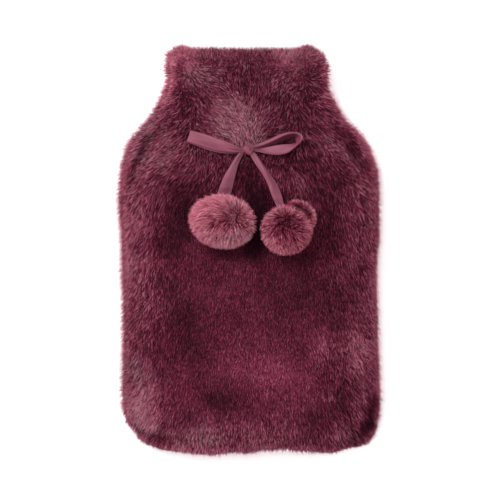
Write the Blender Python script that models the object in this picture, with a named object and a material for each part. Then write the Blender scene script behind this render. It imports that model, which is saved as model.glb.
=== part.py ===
"""A faux-fur hot water bottle cover with a satin bow and two pompoms.

Metres, +Z up. The cover lies on its back: the front faces up, the neck points
to +Y, and the origin is on the surface under the middle of the cover's box.
The tables hold millimetres.
"""
import math

import bmesh
import bpy
from mathutils import Vector
from mathutils.bvhtree import BVHTree

MM = 0.001

# --- driving sizes, in metres ---------------------------------------------
SEAM_HEIGHT = 22 * MM      # the side seam lies in a level plane
SEAM_GAP = 0.3 * MM        # between the two panels along the seam
FRONT_WALL = 9 * MM        # backing cloth and pile together
BACK_WALL = 8 * MM         # the same, pressed by its own weight
BOTTOM_ROLL = 62 * MM      # how far up the front the bottom edge's roll reaches
BACK_ROLL = 30 * MM        # how far the back curls up round its edge
SIDE_FULLNESS = 2.5        # a higher power keeps the front full out to its sides
END_FULLNESS = 2.3         # and out to its bottom
EDGE_STEEPNESS = 0.46      # a lower power makes the front rise steeply from the seam
FOLDS_START, FOLDS_FULL = 0.1, 0.7    # folds fade in between these shares of the rise
CELL_LENGTH = 9 * MM       # longest step between mesh rows along the cover
FRONT_CELLS_ACROSS = 30
BACK_CELLS_ACROSS = 16
BACK_END_ROWS = 6          # the back has these rows of the front's at the bottom
BACK_ROW_STRIDE = 2        # and every second one after them

RIBBON_THICK = 1 * MM
RIBBON_LIFT = 0.5 * MM     # ribbon above the pile
POMPOM_GAP = 0.5 * MM      # pompom above the pile

# One row for each cross-section, from the bottom seam to the mouth, in mm.
# side: height along the cover of the section's two ends
# left, right: where the pile ends at each side
# middle: height along the cover at the centre line
# crown: top of the pile at the centre line
SECTION_COLUMNS = ("side", "left", "right", "middle", "crown")
SECTIONS = (
    (-155.0, -100.5, 107.5, -174.0, 50),
    (-151.0, -103.5, 110.0, -168.0, 50),
    (-144.0, -105.5, 111.6, -156.0, 50),
    (-128.0, -108.0, 112.2, -134.0, 51),
    (-94.0, -107.4, 111.4, -98.0, 52),
    (-51.5, -107.9, 110.5, -53.0, 52),
    (-17.5, -109.2, 109.6, -18.0, 53),
    (12.5, -110.4, 111.2, 12.0, 53),
    (37.0, -112.2, 111.8, 36.0, 53),
    (62.0, -110.6, 111.2, 60.0, 52),
    (84.6, -105.8, 104.6, 82.0, 49),
    (97.4, -97.6, 96.6, 96.0, 47),
    (110.0, -87.2, 84.6, 109.0, 45),
    (122.9, -79.2, 76.4, 122.0, 44),
    (135.7, -73.4, 70.6, 136.0, 42),
    (148.4, -70.9, 68.9, 150.0, 41),
    (160.5, -70.6, 67.2, 162.0, 40),
    (167.8, -68.6, 63.0, 171.2, 39),
)
CORNER_SQUARENESS = 6.0    # how square the bottom corners are
EARS = (                   # the pile stands up where the seam meets the mouth
    # across, reach, rise: share of the half width, the same, mm
    (-0.86, 0.11, 4.2),
    (0.84, 0.11, 4.8),
)
MOUTH_BLEND = 1.5          # sections over which the ears grow
BOTTOM_BLEND = 2           # sections over which the bottom's waves fade
BOTTOM_WAVES = (           # the bottom edge hangs lower here
    # x, reach, drop: mm
    (-34.0, 26.0, 0.9),
    (66.0, 16.0, 1.6),
)

# Creases and swells of the front's pile, in mm: each follows a line from
# (x0, y0) to (x1, y1); a negative depth is a swell.
FOLD_COLUMNS = ("x0", "y0", "x1", "y1", "reach", "depth")
FOLDS = {
    "mouth valley": (6, 166, 3, 128, 13, 3.5),
    "left ear swell": (-52, 160, -14, 122, 13, -2.0),
    "right ear swell": (56, 158, 20, 138, 13, -2.0),
    "left neck notch": (-72, 146, -57, 160, 5, 4.0),
    "right neck groove": (47, 158, 70, 131, 6, 3.0),
    "brushed swell": (2, 128, 1, 98, 20, -2.0),
    "bow pinch": (-4, 84, 3, 84, 14, 3.5),
    "left shoulder seam, lower": (-108, 50, -92, 74, 6, 4.0),
    "left shoulder seam, upper": (-92, 74, -73, 86, 6, 3.5),
    "right shoulder seam, upper": (68, 93, 87, 76, 6, 4.0),
    "right shoulder seam, lower": (87, 76, 107, 49, 6, 4.0),
    "left side clump": (-62, -34, -56, -85, 11, 2.2),
    "left side swell": (-86, 10, -82, -70, 12, -1.6),
    "bottom left seam": (-84, -156, -28, -162, 6, 3.0),
    "bottom right seam, side": (109, -123, 100, -148, 6, 3.5),
    "bottom right seam, end": (100, -148, 82, -162, 6, 3.5),
    "lower left dip": (-36, -126, -18, -128, 12, 2.2),
    "lower right dip": (76, -118, 80, -146, 11, 2.2),
    "lower right swell": (60, -78, 96, -112, 16, -2.0),
}
NEST_DEPTH = 5.0           # mm that a pompom presses into the pile
NESTS = (                  # x, y, level radius, outer radius: mm
    (-21.3, 23.5, 18.0, 36.0),
    (36.0, 19.0, 17.0, 34.0),
)

# The ribbon's strands, in mm, as they leave and enter the knot.
# lift: height over the pile, width: what is not folded away in the knot,
# lean: how far the ribbon stands up on its edge, in degrees
STRAND_COLUMNS = ("x", "y", "lift", "width", "lean")
STRANDS = {
    "left_loop": (
        (0.5, 84.2, 2.6, 4.0, 0),
        (-7.0, 85.6, 2.9, 5.0, 0),
        (-20.0, 88.6, 2.9, 9.6, 0),
        (-34.0, 91.9, 2.8, 10.2, 0),
        (-47.0, 94.8, 2.6, 10.2, 0),
        (-49.1, 95.3, 1.4, 10.2, 0),
        (-47.0, 94.6, 0.2, 10.2, 0),
        (-33.5, 90.6, 0.1, 10.2, 0),
        (-20.0, 87.2, 0.1, 9.6, 0),
        (-7.0, 84.6, 0.4, 5.0, 0),
        (0.5, 83.4, 0.7, 4.0, 0),
    ),
    "right_loop": (
        (0.5, 85.4, 3.4, 3.0, 20),
        (6.0, 87.4, 3.0, 5.0, 40),
        (15.0, 90.9, 1.2, 8.0, 50),
        (24.5, 94.6, 0.5, 10.2, 58),
        (34.0, 96.6, 0.4, 10.2, 62),
        (41.5, 95.6, 0.4, 10.2, 70),
        (44.6, 91.6, 0.4, 10.2, 74),
        (41.0, 87.4, 0.4, 10.2, 62),
        (33.0, 84.8, 0.4, 10.2, 40),
        (22.0, 83.4, 0.4, 9.6, 34),
        (10.0, 82.6, 0.3, 6.0, 16),
        (1.5, 82.6, 0.3, 3.4, 0),
    ),
    "left_tail": (
        (-1.0, 84.0, 1.8, 3.6, 0),
        (-6.4, 80.6, 0.8, 3.6, 0),
        (-11.7, 71.8, 0.2, 4.4, 0),
        (-16.5, 60.4, 0.2, 7.4, 0),
        (-20.2, 48.0, 0.4, 10.2, 0),
        (-21.5, 39.6, 1.1, 10.2, 0),
    ),
    "right_tail": (
        (-0.4, 84.0, 1.8, 3.8, 0),
        (3.2, 79.6, 0.8, 6.0, 0),
        (8.0, 74.0, 0.2, 7.4, 10),
        (12.4, 67.0, 0.2, 6.6, 30),
        (16.4, 61.4, 0.2, 7.4, 30),
        (20.4, 54.6, 0.6, 9.0, 12),
        (24.4, 45.6, 3.6, 9.4, 0),
        (27.6, 37.6, 7.5, 9.0, 0),
    ),
}
STEPS_BETWEEN_ROWS = 3
LOOK_AHEAD = 0.05                   # rows, for the direction the ribbon runs in
KNOT_PLACE = (-0.6, 83.9)           # mm
KNOT_SIZE = (9.4, 8.0, 6.4)         # mm
KNOT_LIFT = 0.4                     # mm
KNOT_SEGMENTS, KNOT_RINGS = 14, 8

# A pompom is one or two balls of pile grown together, in mm.
# x, y: centre, long, wide, tall: full sizes, turn: degrees
BALL_COLUMNS = ("x", "y", "long", "wide", "tall", "turn")
POMPOMS = {
    "pompom_left": (
        (-21.3, 23.5, 57.6, 46.6, 39.0, -8.0),
    ),
    "pompom_right": (
        (32.0, 16.4, 44.6, 43.0, 38.0, 0.0),
        (41.6, 26.2, 32.0, 32.4, 29.0, 0.0),
    ),
}
BALL_SEGMENTS, BALL_RINGS = 20, 12
BALL_SUNK = 0.06           # share of its height by which the underside is flattened

# --- colours, as sRGB numbers from 0 to 255 -------------------------------
FUR_COLOUR = (95, 41, 57)
BACK_COLOUR = (88, 38, 52)
SATIN_COLOUR = (150, 82, 104)
POMPOM_COLOUR = (165, 92, 116)


def clear_scene():
    for thing in list(bpy.data.objects):
        bpy.data.objects.remove(thing, do_unlink=True)


def collection(name):
    group = bpy.data.collections.new(name)
    bpy.context.scene.collection.children.link(group)
    return group


def linear(channel):
    share = channel / 255
    if share <= 0.04045:
        return share / 12.92
    return ((share + 0.055) / 1.055) ** 2.4


def cloth_material(name, colour, roughness):
    material = bpy.data.materials.new(name)
    material.use_nodes = True
    shader = material.node_tree.nodes["Principled BSDF"]
    shader.inputs["Base Color"].default_value = (*map(linear, colour), 1)
    shader.inputs["Roughness"].default_value = roughness
    shader.inputs["Metallic"].default_value = 0
    return material


def add_object(name, shape, group, material=None):
    """Make an object of the bmesh, with its faces pointing out."""
    bmesh.ops.recalc_face_normals(shape, faces=shape.faces)
    mesh = bpy.data.meshes.new(name)
    shape.to_mesh(mesh)
    shape.free()
    thing = bpy.data.objects.new(name, mesh)
    group.objects.link(thing)
    if material:
        mesh.materials.append(material)
    mesh.shade_smooth()
    return thing


def named_rows(columns, rows):
    return [dict(zip(columns, row)) for row in rows]


def along(rows, column, place):
    """Smooth curve through one column; place counts rows from the first."""
    last = len(rows) - 1
    index = min(int(place), last - 1)
    t = place - index
    before, start, end, after = (
        rows[min(max(k, 0), last)][column] for k in range(index - 1, index + 3))
    lean_in = (end - before) / 2
    lean_out = (after - start) / 2
    return ((2 * t ** 3 - 3 * t ** 2 + 1) * start + (t ** 3 - 2 * t ** 2 + t) * lean_in
            + (3 * t ** 2 - 2 * t ** 3) * end + (t ** 3 - t ** 2) * lean_out)


def smooth_step(low, high, value):
    share = min(max((value - low) / (high - low), 0), 1)
    return share * share * (3 - 2 * share)


# --- the cover's form -----------------------------------------------------
SECTION_ROWS = named_rows(SECTION_COLUMNS, SECTIONS)
FOLD_ROWS = named_rows(FOLD_COLUMNS, FOLDS.values())
MOUTH = len(SECTION_ROWS) - 1


def row_places():
    """Places of the mesh rows, closer together where the sections are."""
    places = []
    for index in range(MOUTH):
        length = (SECTION_ROWS[index + 1]["middle"] - SECTION_ROWS[index]["middle"]) * MM
        steps = max(1, round(length / CELL_LENGTH))
        places += [index + step / steps for step in range(steps)]
    return places + [MOUTH]


def across_places(cells):
    """Places from -1 to 1 across a section, closer together at its ends."""
    return [math.sin(math.pi / 2 * (2 * k / cells - 1)) for k in range(cells + 1)]


def outline_point(place, u, inset=0.0):
    """Point of the cover seen from above; inset moves the edge inwards."""
    left = along(SECTION_ROWS, "left", place) * MM + inset
    right = along(SECTION_ROWS, "right", place) * MM - inset
    side = along(SECTION_ROWS, "side", place)
    middle = along(SECTION_ROWS, "middle", place)
    x = (left + right) / 2 + u * (right - left) / 2
    y = middle + (side - middle) * abs(u) ** CORNER_SQUARENESS
    mouth_share = smooth_step(MOUTH - MOUTH_BLEND, MOUTH, place)
    for centre, reach, rise in EARS:
        y += mouth_share * rise * math.exp(-((u - centre) / reach) ** 2)
    bottom_share = 1 - smooth_step(0, BOTTOM_BLEND, place)
    for centre, reach, drop in BOTTOM_WAVES:
        y -= bottom_share * drop * math.exp(-((x / MM - centre) / reach) ** 2)
    top, bottom = SECTION_ROWS[-1]["middle"], SECTION_ROWS[0]["middle"]
    y += inset / MM * (top - y) / (top - bottom)
    return x, y * MM


def bottom_distance(place):
    middle = along(SECTION_ROWS, "middle", place)
    return (middle - SECTION_ROWS[0]["middle"]) * MM


def front_rise(place, u):
    """Share of the crown reached here: 0 along the seam, 1 on the crown."""
    from_end = min(bottom_distance(place) / BOTTOM_ROLL, 1)
    side_rise = (1 - abs(u) ** SIDE_FULLNESS) ** EDGE_STEEPNESS
    return side_rise * (1 - (1 - from_end) ** END_FULLNESS) ** EDGE_STEEPNESS


def back_rise(place, u):
    """0 along the seam, 1 where the back lies flat."""
    half_width = (along(SECTION_ROWS, "right", place) - along(SECTION_ROWS, "left", place)) / 2
    from_side = min((1 - abs(u)) * half_width * MM / BACK_ROLL, 1)
    from_end = min(bottom_distance(place) / BACK_ROLL, 1)
    return math.sqrt((1 - (1 - from_side) ** 2) * (1 - (1 - from_end) ** 2))


def distance_to_line(x, y, fold):
    start = Vector((fold["x0"], fold["y0"]))
    run = Vector((fold["x1"], fold["y1"])) - start
    offset = Vector((x, y)) - start
    share = min(max(offset.dot(run) / run.length_squared, 0), 1)
    return (offset - share * run).length


def fold_depth(x, y):
    """How far the front's pile is pressed in at a point, in metres."""
    x, y = x / MM, y / MM
    depth = 0
    for fold in FOLD_ROWS:
        depth += fold["depth"] * math.exp(-(distance_to_line(x, y, fold) / fold["reach"]) ** 2)
    for nest_x, nest_y, level, outer in NESTS:
        distance = math.hypot(x - nest_x, y - nest_y)
        depth += NEST_DEPTH * (1 - smooth_step(level, outer, distance))
    return depth * MM


def front_skin(places, cells, inner):
    inset = FRONT_WALL if inner else 0
    base = SEAM_HEIGHT + SEAM_GAP / 2
    skin = []
    for place in places:
        crown = along(SECTION_ROWS, "crown", place) * MM - inset
        row = []
        for u in across_places(cells):
            x, y = outline_point(place, u, inset)
            rise = front_rise(place, u)
            z = base + (crown - base) * rise
            if not inner:
                z -= fold_depth(x, y) * smooth_step(FOLDS_START, FOLDS_FULL, rise)
            row.append(Vector((x, y, z)))
        skin.append(row)
    return skin


def back_skin(places, cells, inner):
    inset = BACK_WALL if inner else 0
    top = SEAM_HEIGHT - SEAM_GAP / 2
    skin = []
    for place in places:
        row = []
        for u in across_places(cells):
            x, y = outline_point(place, u, inset)
            z = top - (top - inset) * back_rise(place, u)
            row.append(Vector((x, y, z)))
        skin.append(row)
    return skin


def panel_shape(outer, inner):
    """Closed wall between two skins of the same rows and columns."""
    shape = bmesh.new()
    skins = [[[shape.verts.new(point) for point in row] for row in skin]
             for skin in (outer, inner)]
    rows, columns = len(outer), len(outer[0])
    for skin in skins:
        for r in range(rows - 1):
            for c in range(columns - 1):
                shape.faces.new((skin[r][c], skin[r][c + 1],
                                 skin[r + 1][c + 1], skin[r + 1][c]))
    rim = [(0, c) for c in range(columns)]
    rim += [(r, columns - 1) for r in range(1, rows)]
    rim += [(rows - 1, c) for c in range(columns - 2, -1, -1)]
    rim += [(r, 0) for r in range(rows - 2, 0, -1)]
    outside, inside = skins
    for (r0, c0), (r1, c1) in zip(rim, rim[1:] + rim[:1]):
        shape.faces.new((outside[r0][c0], outside[r1][c1],
                         inside[r1][c1], inside[r0][c0]))
    return shape


def make_panels(group):
    places = row_places()
    back_places = places[:BACK_END_ROWS] + places[BACK_END_ROWS:-1:BACK_ROW_STRIDE] + [MOUTH]
    front = panel_shape(front_skin(places, FRONT_CELLS_ACROSS, False),
                        front_skin(places, FRONT_CELLS_ACROSS, True))
    back = panel_shape(back_skin(back_places, BACK_CELLS_ACROSS, False),
                       back_skin(back_places, BACK_CELLS_ACROSS, True))
    front_panel = add_object("front_panel", front, group,
                             cloth_material("front_fur", FUR_COLOUR, 0.95))
    add_object("back_panel", back, group, cloth_material("back_fur", BACK_COLOUR, 0.95))
    return front_panel


def height_finder(panel):
    """A function that gives the height of the panel's pile, seen from far above."""
    shape = bmesh.new()
    shape.from_mesh(panel.data)
    tree = BVHTree.FromBMesh(shape)
    shape.free()

    def height(x, y):
        above = Vector((x, y, 1))
        return tree.ray_cast(above, Vector((0, 0, -1)))[0].z
    return height


# --- the ribbon -----------------------------------------------------------
def ribbon_centre(rows, place):
    """Middle of the ribbon at a place, as it would lie on level ground."""
    return Vector((along(rows, "x", place), along(rows, "y", place),
                   along(rows, "lift", place))) * MM


def strand_stations(rows, height):
    """Centre, width direction and width at steps along the ribbon."""
    last = len(rows) - 1
    stations = []
    level_side = None
    for step in range(last * STEPS_BETWEEN_ROWS + 1):
        place = step / STEPS_BETWEEN_ROWS
        run = (ribbon_centre(rows, min(place + LOOK_AHEAD, last))
               - ribbon_centre(rows, max(place - LOOK_AHEAD, 0)))
        level_run = run.xy.length
        if level_side is None or level_run > abs(run.z):
            across = Vector((-run.y, run.x, 0)) / level_run
            turned_back = level_side is not None and across.dot(level_side) < 0
            level_side = -across if turned_back else across
        lean = math.radians(along(rows, "lean", place))
        width = along(rows, "width", place) * MM
        centre = ribbon_centre(rows, place)
        reach = level_side * math.cos(lean) * width / 2
        pile = max(height(edge.x, edge.y) for edge in (centre - reach, centre, centre + reach))
        centre.z += pile + RIBBON_LIFT + RIBBON_THICK / 2 + math.sin(lean) * width / 2
        side = level_side * math.cos(lean) + Vector((0, 0, math.sin(lean)))
        stations.append((centre, side, width))
    return stations


def strand_shape(rows, height):
    """Closed strip of ribbon along its rows."""
    stations = strand_stations(rows, height)
    shape = bmesh.new()
    rings = []
    for k, (centre, side, width) in enumerate(stations):
        after = stations[min(k + 1, len(stations) - 1)][0]
        before = stations[max(k - 1, 0)][0]
        through = (after - before).cross(side).normalized() * RIBBON_THICK / 2
        half = side * width / 2
        ring = [centre - half - through, centre + half - through,
                centre + half + through, centre - half + through]
        rings.append([shape.verts.new(point) for point in ring])
    for first, second in zip(rings, rings[1:]):
        for k in range(4):
            shape.faces.new((first[k], first[(k + 1) % 4],
                             second[(k + 1) % 4], second[k]))
    shape.faces.new(rings[0])
    shape.faces.new(rings[-1])
    return shape


def knot_shape(height):
    x, y = (value * MM for value in KNOT_PLACE)
    length, width, tall = (value * MM for value in KNOT_SIZE)
    z = height(x, y) + RIBBON_LIFT + KNOT_LIFT * MM + tall / 2
    shape = bmesh.new()
    bmesh.ops.create_uvsphere(shape, u_segments=KNOT_SEGMENTS, v_segments=KNOT_RINGS,
                              radius=0.5)
    bmesh.ops.scale(shape, vec=(length, width, tall), verts=shape.verts)
    bmesh.ops.translate(shape, vec=(x, y, z), verts=shape.verts)
    return shape


def join_with(thing, others):
    for other in others:
        other.hide_render = True
        other.display_type = "WIRE"
        union = thing.modifiers.new("with_" + other.name, "BOOLEAN")
        union.operation = "UNION"
        union.solver = "EXACT"
        union.object = other


def make_ribbon(group, guides, height):
    satin = cloth_material("satin", SATIN_COLOUR, 0.45)
    bow = add_object("ribbon_bow", knot_shape(height), group, satin)
    strands = [add_object(name, strand_shape(named_rows(STRAND_COLUMNS, rows), height), guides)
               for name, rows in STRANDS.items()]
    join_with(bow, strands)


# --- the pompoms ----------------------------------------------------------
def ball_shape(ball, height):
    """Ball of pile, flattened where it lies on the cover."""
    size = Vector((ball["long"], ball["wide"], ball["tall"])) * MM
    x, y = ball["x"] * MM, ball["y"] * MM
    turn = math.radians(ball["turn"])
    shape = bmesh.new()
    bmesh.ops.create_uvsphere(shape, u_segments=BALL_SEGMENTS, v_segments=BALL_RINGS,
                              radius=0.5)
    middle = height(x, y) + POMPOM_GAP + (0.5 - BALL_SUNK) * size.z
    for vert in shape.verts:
        local = Vector(a * b for a, b in zip(vert.co, size))
        vert.co = (x + local.x * math.cos(turn) - local.y * math.sin(turn),
                   y + local.x * math.sin(turn) + local.y * math.cos(turn),
                   middle + local.z)
        vert.co.z = max(vert.co.z, height(vert.co.x, vert.co.y) + POMPOM_GAP)
    return shape


def make_pompom(name, rows, group, guides, height):
    plush = cloth_material(name + "_plush", POMPOM_COLOUR, 0.95)
    balls = named_rows(BALL_COLUMNS, rows)
    pompom = add_object(name, ball_shape(balls[0], height), group, plush)
    lobes = [add_object(f"{name}_lobe_{k}", ball_shape(ball, height), guides)
             for k, ball in enumerate(balls[1:], 1)]
    join_with(pompom, lobes)


def main():
    clear_scene()
    cover = collection("hot_water_bottle_cover")
    guides = collection("guides")
    front_panel = make_panels(cover)
    height = height_finder(front_panel)
    make_ribbon(cover, guides, height)
    for name, rows in POMPOMS.items():
        make_pompom(name, rows, cover, guides, height)


main()
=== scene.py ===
# %% [markdown]
# # A faux-fur hot water bottle cover
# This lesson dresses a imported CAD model: two fur panels sewn into a bottle-shaped
# pouch, a satin ribbon tied in a bow, and two fur pompoms on the ribbon's tails.
# The CAD model gives every place and size, so it is loaded first and never moved.

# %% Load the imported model
import math

import bmesh
import bpy
import numpy as np
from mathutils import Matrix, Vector, noise
from mathutils.bvhtree import BVHTree


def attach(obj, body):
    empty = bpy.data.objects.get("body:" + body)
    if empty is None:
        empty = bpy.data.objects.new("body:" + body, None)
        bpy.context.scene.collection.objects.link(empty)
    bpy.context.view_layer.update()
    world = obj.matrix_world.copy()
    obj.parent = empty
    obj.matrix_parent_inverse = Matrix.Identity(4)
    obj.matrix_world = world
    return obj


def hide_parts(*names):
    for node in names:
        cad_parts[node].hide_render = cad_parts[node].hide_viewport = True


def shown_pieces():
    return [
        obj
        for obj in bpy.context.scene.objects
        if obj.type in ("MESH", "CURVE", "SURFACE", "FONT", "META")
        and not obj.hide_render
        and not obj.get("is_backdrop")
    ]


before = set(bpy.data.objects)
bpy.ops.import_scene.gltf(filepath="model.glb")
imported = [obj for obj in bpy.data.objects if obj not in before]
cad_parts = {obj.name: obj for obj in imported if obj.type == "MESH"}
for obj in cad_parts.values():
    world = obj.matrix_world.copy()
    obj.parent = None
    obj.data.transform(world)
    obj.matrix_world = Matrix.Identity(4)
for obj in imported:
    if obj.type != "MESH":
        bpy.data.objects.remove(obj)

MM = 0.001
NOISE_SEED = 3
noise.seed_set(NOISE_SEED)  # without it noise vectors change with the clock
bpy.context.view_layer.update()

# %% [markdown]
# ## Camera
# The photo looks straight down on the cover, with its neck at the top. A long lens
# from a couple of metres away keeps the edges from spreading. One of the photo's
# 500 pixels covers 0.85 mm at the height of the side seam.

# %% Camera
PHOTO_PIXELS, PIXEL_WIDTH = 500, 0.85    # the photo's side, and mm to a pixel
FRAME_WIDTH = PHOTO_PIXELS * PIXEL_WIDTH * MM
SEAM_HEIGHT = 22 * MM
LENS, SENSOR = 200, 36                   # mm
LOOK_AT = (1.5 * MM, -0.3 * MM)

camera_data = bpy.data.cameras.new("camera")
camera_data.lens = LENS
camera_data.sensor_width = SENSOR
camera_data.clip_end = 20
camera = bpy.data.objects.new("camera", camera_data)
camera.location = (*LOOK_AT, SEAM_HEIGHT + FRAME_WIDTH * LENS / SENSOR)
bpy.context.scene.collection.objects.link(camera)
bpy.context.scene.camera = camera
print("camera height in m:", round(camera.location.z, 3))

# %% [markdown]
# ## Wiring nodes from Python
# Geometry and materials are both node trees here. One small class wraps a socket, so
# that `1 - mask` in Python adds the Math node that does it, and one method adds any
# other node: its type, its settings first, then the values or links of its inputs.

# %% A socket that can be used in sums
class Wire:
    """One output of a node; a sum or comparison with it adds the node that works it out."""

    def __init__(self, tree, socket):
        self.tree, self.socket = tree, socket

    def joined(self, operation, first, second):
        both = (first, second)
        is_vector = any(isinstance(v, Wire) and v.socket.type in ("VECTOR", "RGBA") for v in both)
        kind = "ShaderNodeVectorMath" if is_vector else "ShaderNodeMath"
        return self.tree.add(kind, {"operation": operation}, {0: first, 1: second}).out(0)

    def __lt__(self, other):
        return self.joined("LESS_THAN", self, other)

    def __gt__(self, other):
        return self.joined("GREATER_THAN", self, other)


def add_operator(sign, operation):
    """Give Wire an operator and its reflected form, as in wire - 1 and 1 - wire."""
    setattr(Wire, f"__{sign}__", lambda wire, other: wire.joined(operation, wire, other))
    setattr(Wire, f"__r{sign}__", lambda wire, other: wire.joined(operation, other, wire))


OPERATORS = {"add": "ADD", "sub": "SUBTRACT", "mul": "MULTIPLY", "truediv": "DIVIDE"}
for sign, operation in OPERATORS.items():
    add_operator(sign, operation)
print("sums on a socket:", ", ".join(OPERATORS))


# %% A node tree that is wired by names
def pick(sockets, key):
    """The socket with this number, or the first one in use with this name."""
    if isinstance(key, int):
        return sockets[key]
    return next(socket for socket in sockets if socket.enabled and socket.name == key)


class Node:
    """A node whose outputs are picked by name or number."""

    def __init__(self, tree, node):
        self.tree, self.node = tree, node

    def out(self, key=0):
        return Wire(self.tree, pick(self.node.outputs, key))


class Tree:
    """A node tree: add makes any node, and the methods after it name the common ones."""

    def __init__(self, tree):
        self.tree = tree

    def feed(self, socket, value):
        if isinstance(value, Wire):
            self.tree.links.new(value.socket, socket)
            return
        if hasattr(value, "__len__") or not hasattr(socket.default_value, "__len__"):
            socket.default_value = value
        else:
            socket.default_value = [value] * len(socket.default_value)

    def add(self, kind, settings=None, values=None):
        node = self.tree.nodes.new(kind)
        for name, value in (settings or {}).items():
            setattr(node, name, value)
        for key, value in (values or {}).items():
            self.feed(pick(node.inputs, key), value)
        return Node(self, node)

    def mix(self, kind, factor, first, second):
        values = {"Factor": factor, "A": first, "B": second}
        return self.add("ShaderNodeMix", {"data_type": kind}, values).out("Result")

    def maths(self, operation, first, second=0):
        return self.add("ShaderNodeMath", {"operation": operation}, {0: first, 1: second}).out(0)

    def combined(self, x, y, z=0):
        return self.add("ShaderNodeCombineXYZ", {}, {"X": x, "Y": y, "Z": z}).out(0)

    def parted(self, vector):
        node = self.add("ShaderNodeSeparateXYZ", {}, {0: vector})
        return [node.out(axis) for axis in "XYZ"]

    def eased(self, value, low, high, kind="SMOOTHSTEP"):
        """0 at low and 1 at high."""
        values = {"Value": value, "From Min": low, "From Max": high}
        return self.add("ShaderNodeMapRange", {"interpolation_type": kind}, values).out(0)

    def cloudy(self, where, scale, detail=2):
        values = {"Vector": where, "Scale": scale, "Detail": detail}
        return self.add("ShaderNodeTexNoise", {}, values).out("Fac")

    def bump(self, height, strength, distance):
        values = {"Height": height, "Strength": strength, "Distance": distance}
        return self.add("ShaderNodeBump", {}, values).out(0)

    def ramp(self, stops, shade):
        """The colour at a shade from 0 to 1; stops are places and sRGB colours."""
        node = self.add("ShaderNodeValToRGB", {}, {"Fac": shade})
        elements = node.node.color_ramp.elements
        while len(elements) < len(stops):
            elements.new(1)
        for element, (place, colour) in zip(elements, stops):
            element.position = place
            element.color = linear(colour)
        return node.out("Color")


def linear(colour):
    """sRGB numbers from 0 to 255 as the linear colour that Blender mixes."""
    shares = [channel / 255 for channel in colour]
    return (*(s / 12.92 if s <= 0.04045 else ((s + 0.055) / 1.055) ** 2.4 for s in shares), 1)


# %% [markdown]
# ## Making objects from rows of points
# Every sheet here, from the pile's bed to the ribbon, is rows of points with faces
# between them, so a few helpers make them all. Cloth and ribbon have two such sheets,
# closed round the edge, because a real one has a thickness.

# %% Sheets, and objects made from them
def vertex_rows(shape, grid):
    return [[shape.verts.new(point) for point in row] for row in grid]


def join_rows(shape, rows, closed=False):
    """Faces between neighbouring rows; a closed row runs round to its first point."""
    columns = len(rows[0])
    for lower, upper in zip(rows, rows[1:]):
        for k in range(columns if closed else columns - 1):
            after = (k + 1) % columns
            shape.faces.new((lower[k], lower[after], upper[after], upper[k]))


def close_sheet(shape, outer, inner):
    """Faces of two sheets that lie over each other, and round the edge between them."""
    join_rows(shape, outer)
    join_rows(shape, inner)
    rows, columns = len(outer), len(outer[0])
    rim = [(0, c) for c in range(columns)] + [(r, columns - 1) for r in range(1, rows)]
    rim += [(rows - 1, c) for c in range(columns - 2, -1, -1)]
    rim += [(r, 0) for r in range(rows - 2, 0, -1)]
    for (r0, c0), (r1, c1) in zip(rim, rim[1:] + rim[:1]):
        shape.faces.new((outer[r0][c0], outer[r1][c1], inner[r1][c1], inner[r0][c0]))
    bmesh.ops.recalc_face_normals(shape, faces=shape.faces)


def mesh_of(shape, name):
    mesh = bpy.data.meshes.new(name)
    shape.to_mesh(mesh)
    shape.free()
    return mesh


def placed(name, data):
    """An object in the scene with this mesh, lamp or camera."""
    thing = bpy.data.objects.new(name, data)
    bpy.context.scene.collection.objects.link(thing)
    return thing


def store(mesh, name, values, kind="FLOAT", item="value"):
    """Keep one value per vertex on the mesh, under a name that nodes can read."""
    mesh.attributes.new(name, kind, "POINT").data.foreach_set(item, values)


def rotated(x, y, angle, about=(0, 0)):
    """The point (x, y) turned by an angle in radians, then moved to a new middle."""
    return (about[0] + x * math.cos(angle) - y * math.sin(angle),
            about[1] + x * math.sin(angle) + y * math.cos(angle))


# %% [markdown]
# ## The form of the cover
# A pouch over a filled bottle is a soft cushion: its front rises steeply from the side
# seam and stays full, and its back lies flat. The same table of sections shaped the
# CAD panels, and the pile is rooted in a bed a few millimetres inside that surface,
# so that the tips of the pile end where the CAD surface is. Between two sections
# every value runs on a smooth curve, as cloth does over a full bottle.

# %% Sections along the cover, in mm, from the bottom seam to the mouth
SECTION_COLUMNS = ("side", "left", "right", "middle", "crown")
SECTIONS = (
    (-155.0, -100.5, 107.5, -174.0, 50),
    (-151.0, -103.5, 110.0, -168.0, 50),
    (-144.0, -105.5, 111.6, -156.0, 50),
    (-128.0, -108.0, 112.2, -134.0, 51),
    (-94.0, -107.4, 111.4, -98.0, 52),
    (-51.5, -107.9, 110.5, -53.0, 52),
    (-17.5, -109.2, 109.6, -18.0, 53),
    (12.5, -110.4, 111.2, 12.0, 53),
    (37.0, -112.2, 111.8, 36.0, 53),
    (62.0, -110.6, 111.2, 60.0, 52),
    (84.6, -105.8, 104.6, 82.0, 49),
    (97.4, -97.6, 96.6, 96.0, 47),
    (110.0, -87.2, 84.6, 109.0, 45),
    (122.9, -79.2, 76.4, 122.0, 44),
    (135.7, -73.4, 70.6, 136.0, 42),
    (148.4, -70.9, 68.9, 150.0, 41),
    (160.5, -70.6, 67.2, 162.0, 40),
    (167.8, -68.6, 63.0, 171.2, 39),
)


def named_rows(columns, rows):
    return [dict(zip(columns, row)) for row in rows]


SECTION_ROWS = named_rows(SECTION_COLUMNS, SECTIONS)
MOUTH = len(SECTION_ROWS) - 1
print("sections:", len(SECTION_ROWS))


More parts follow.
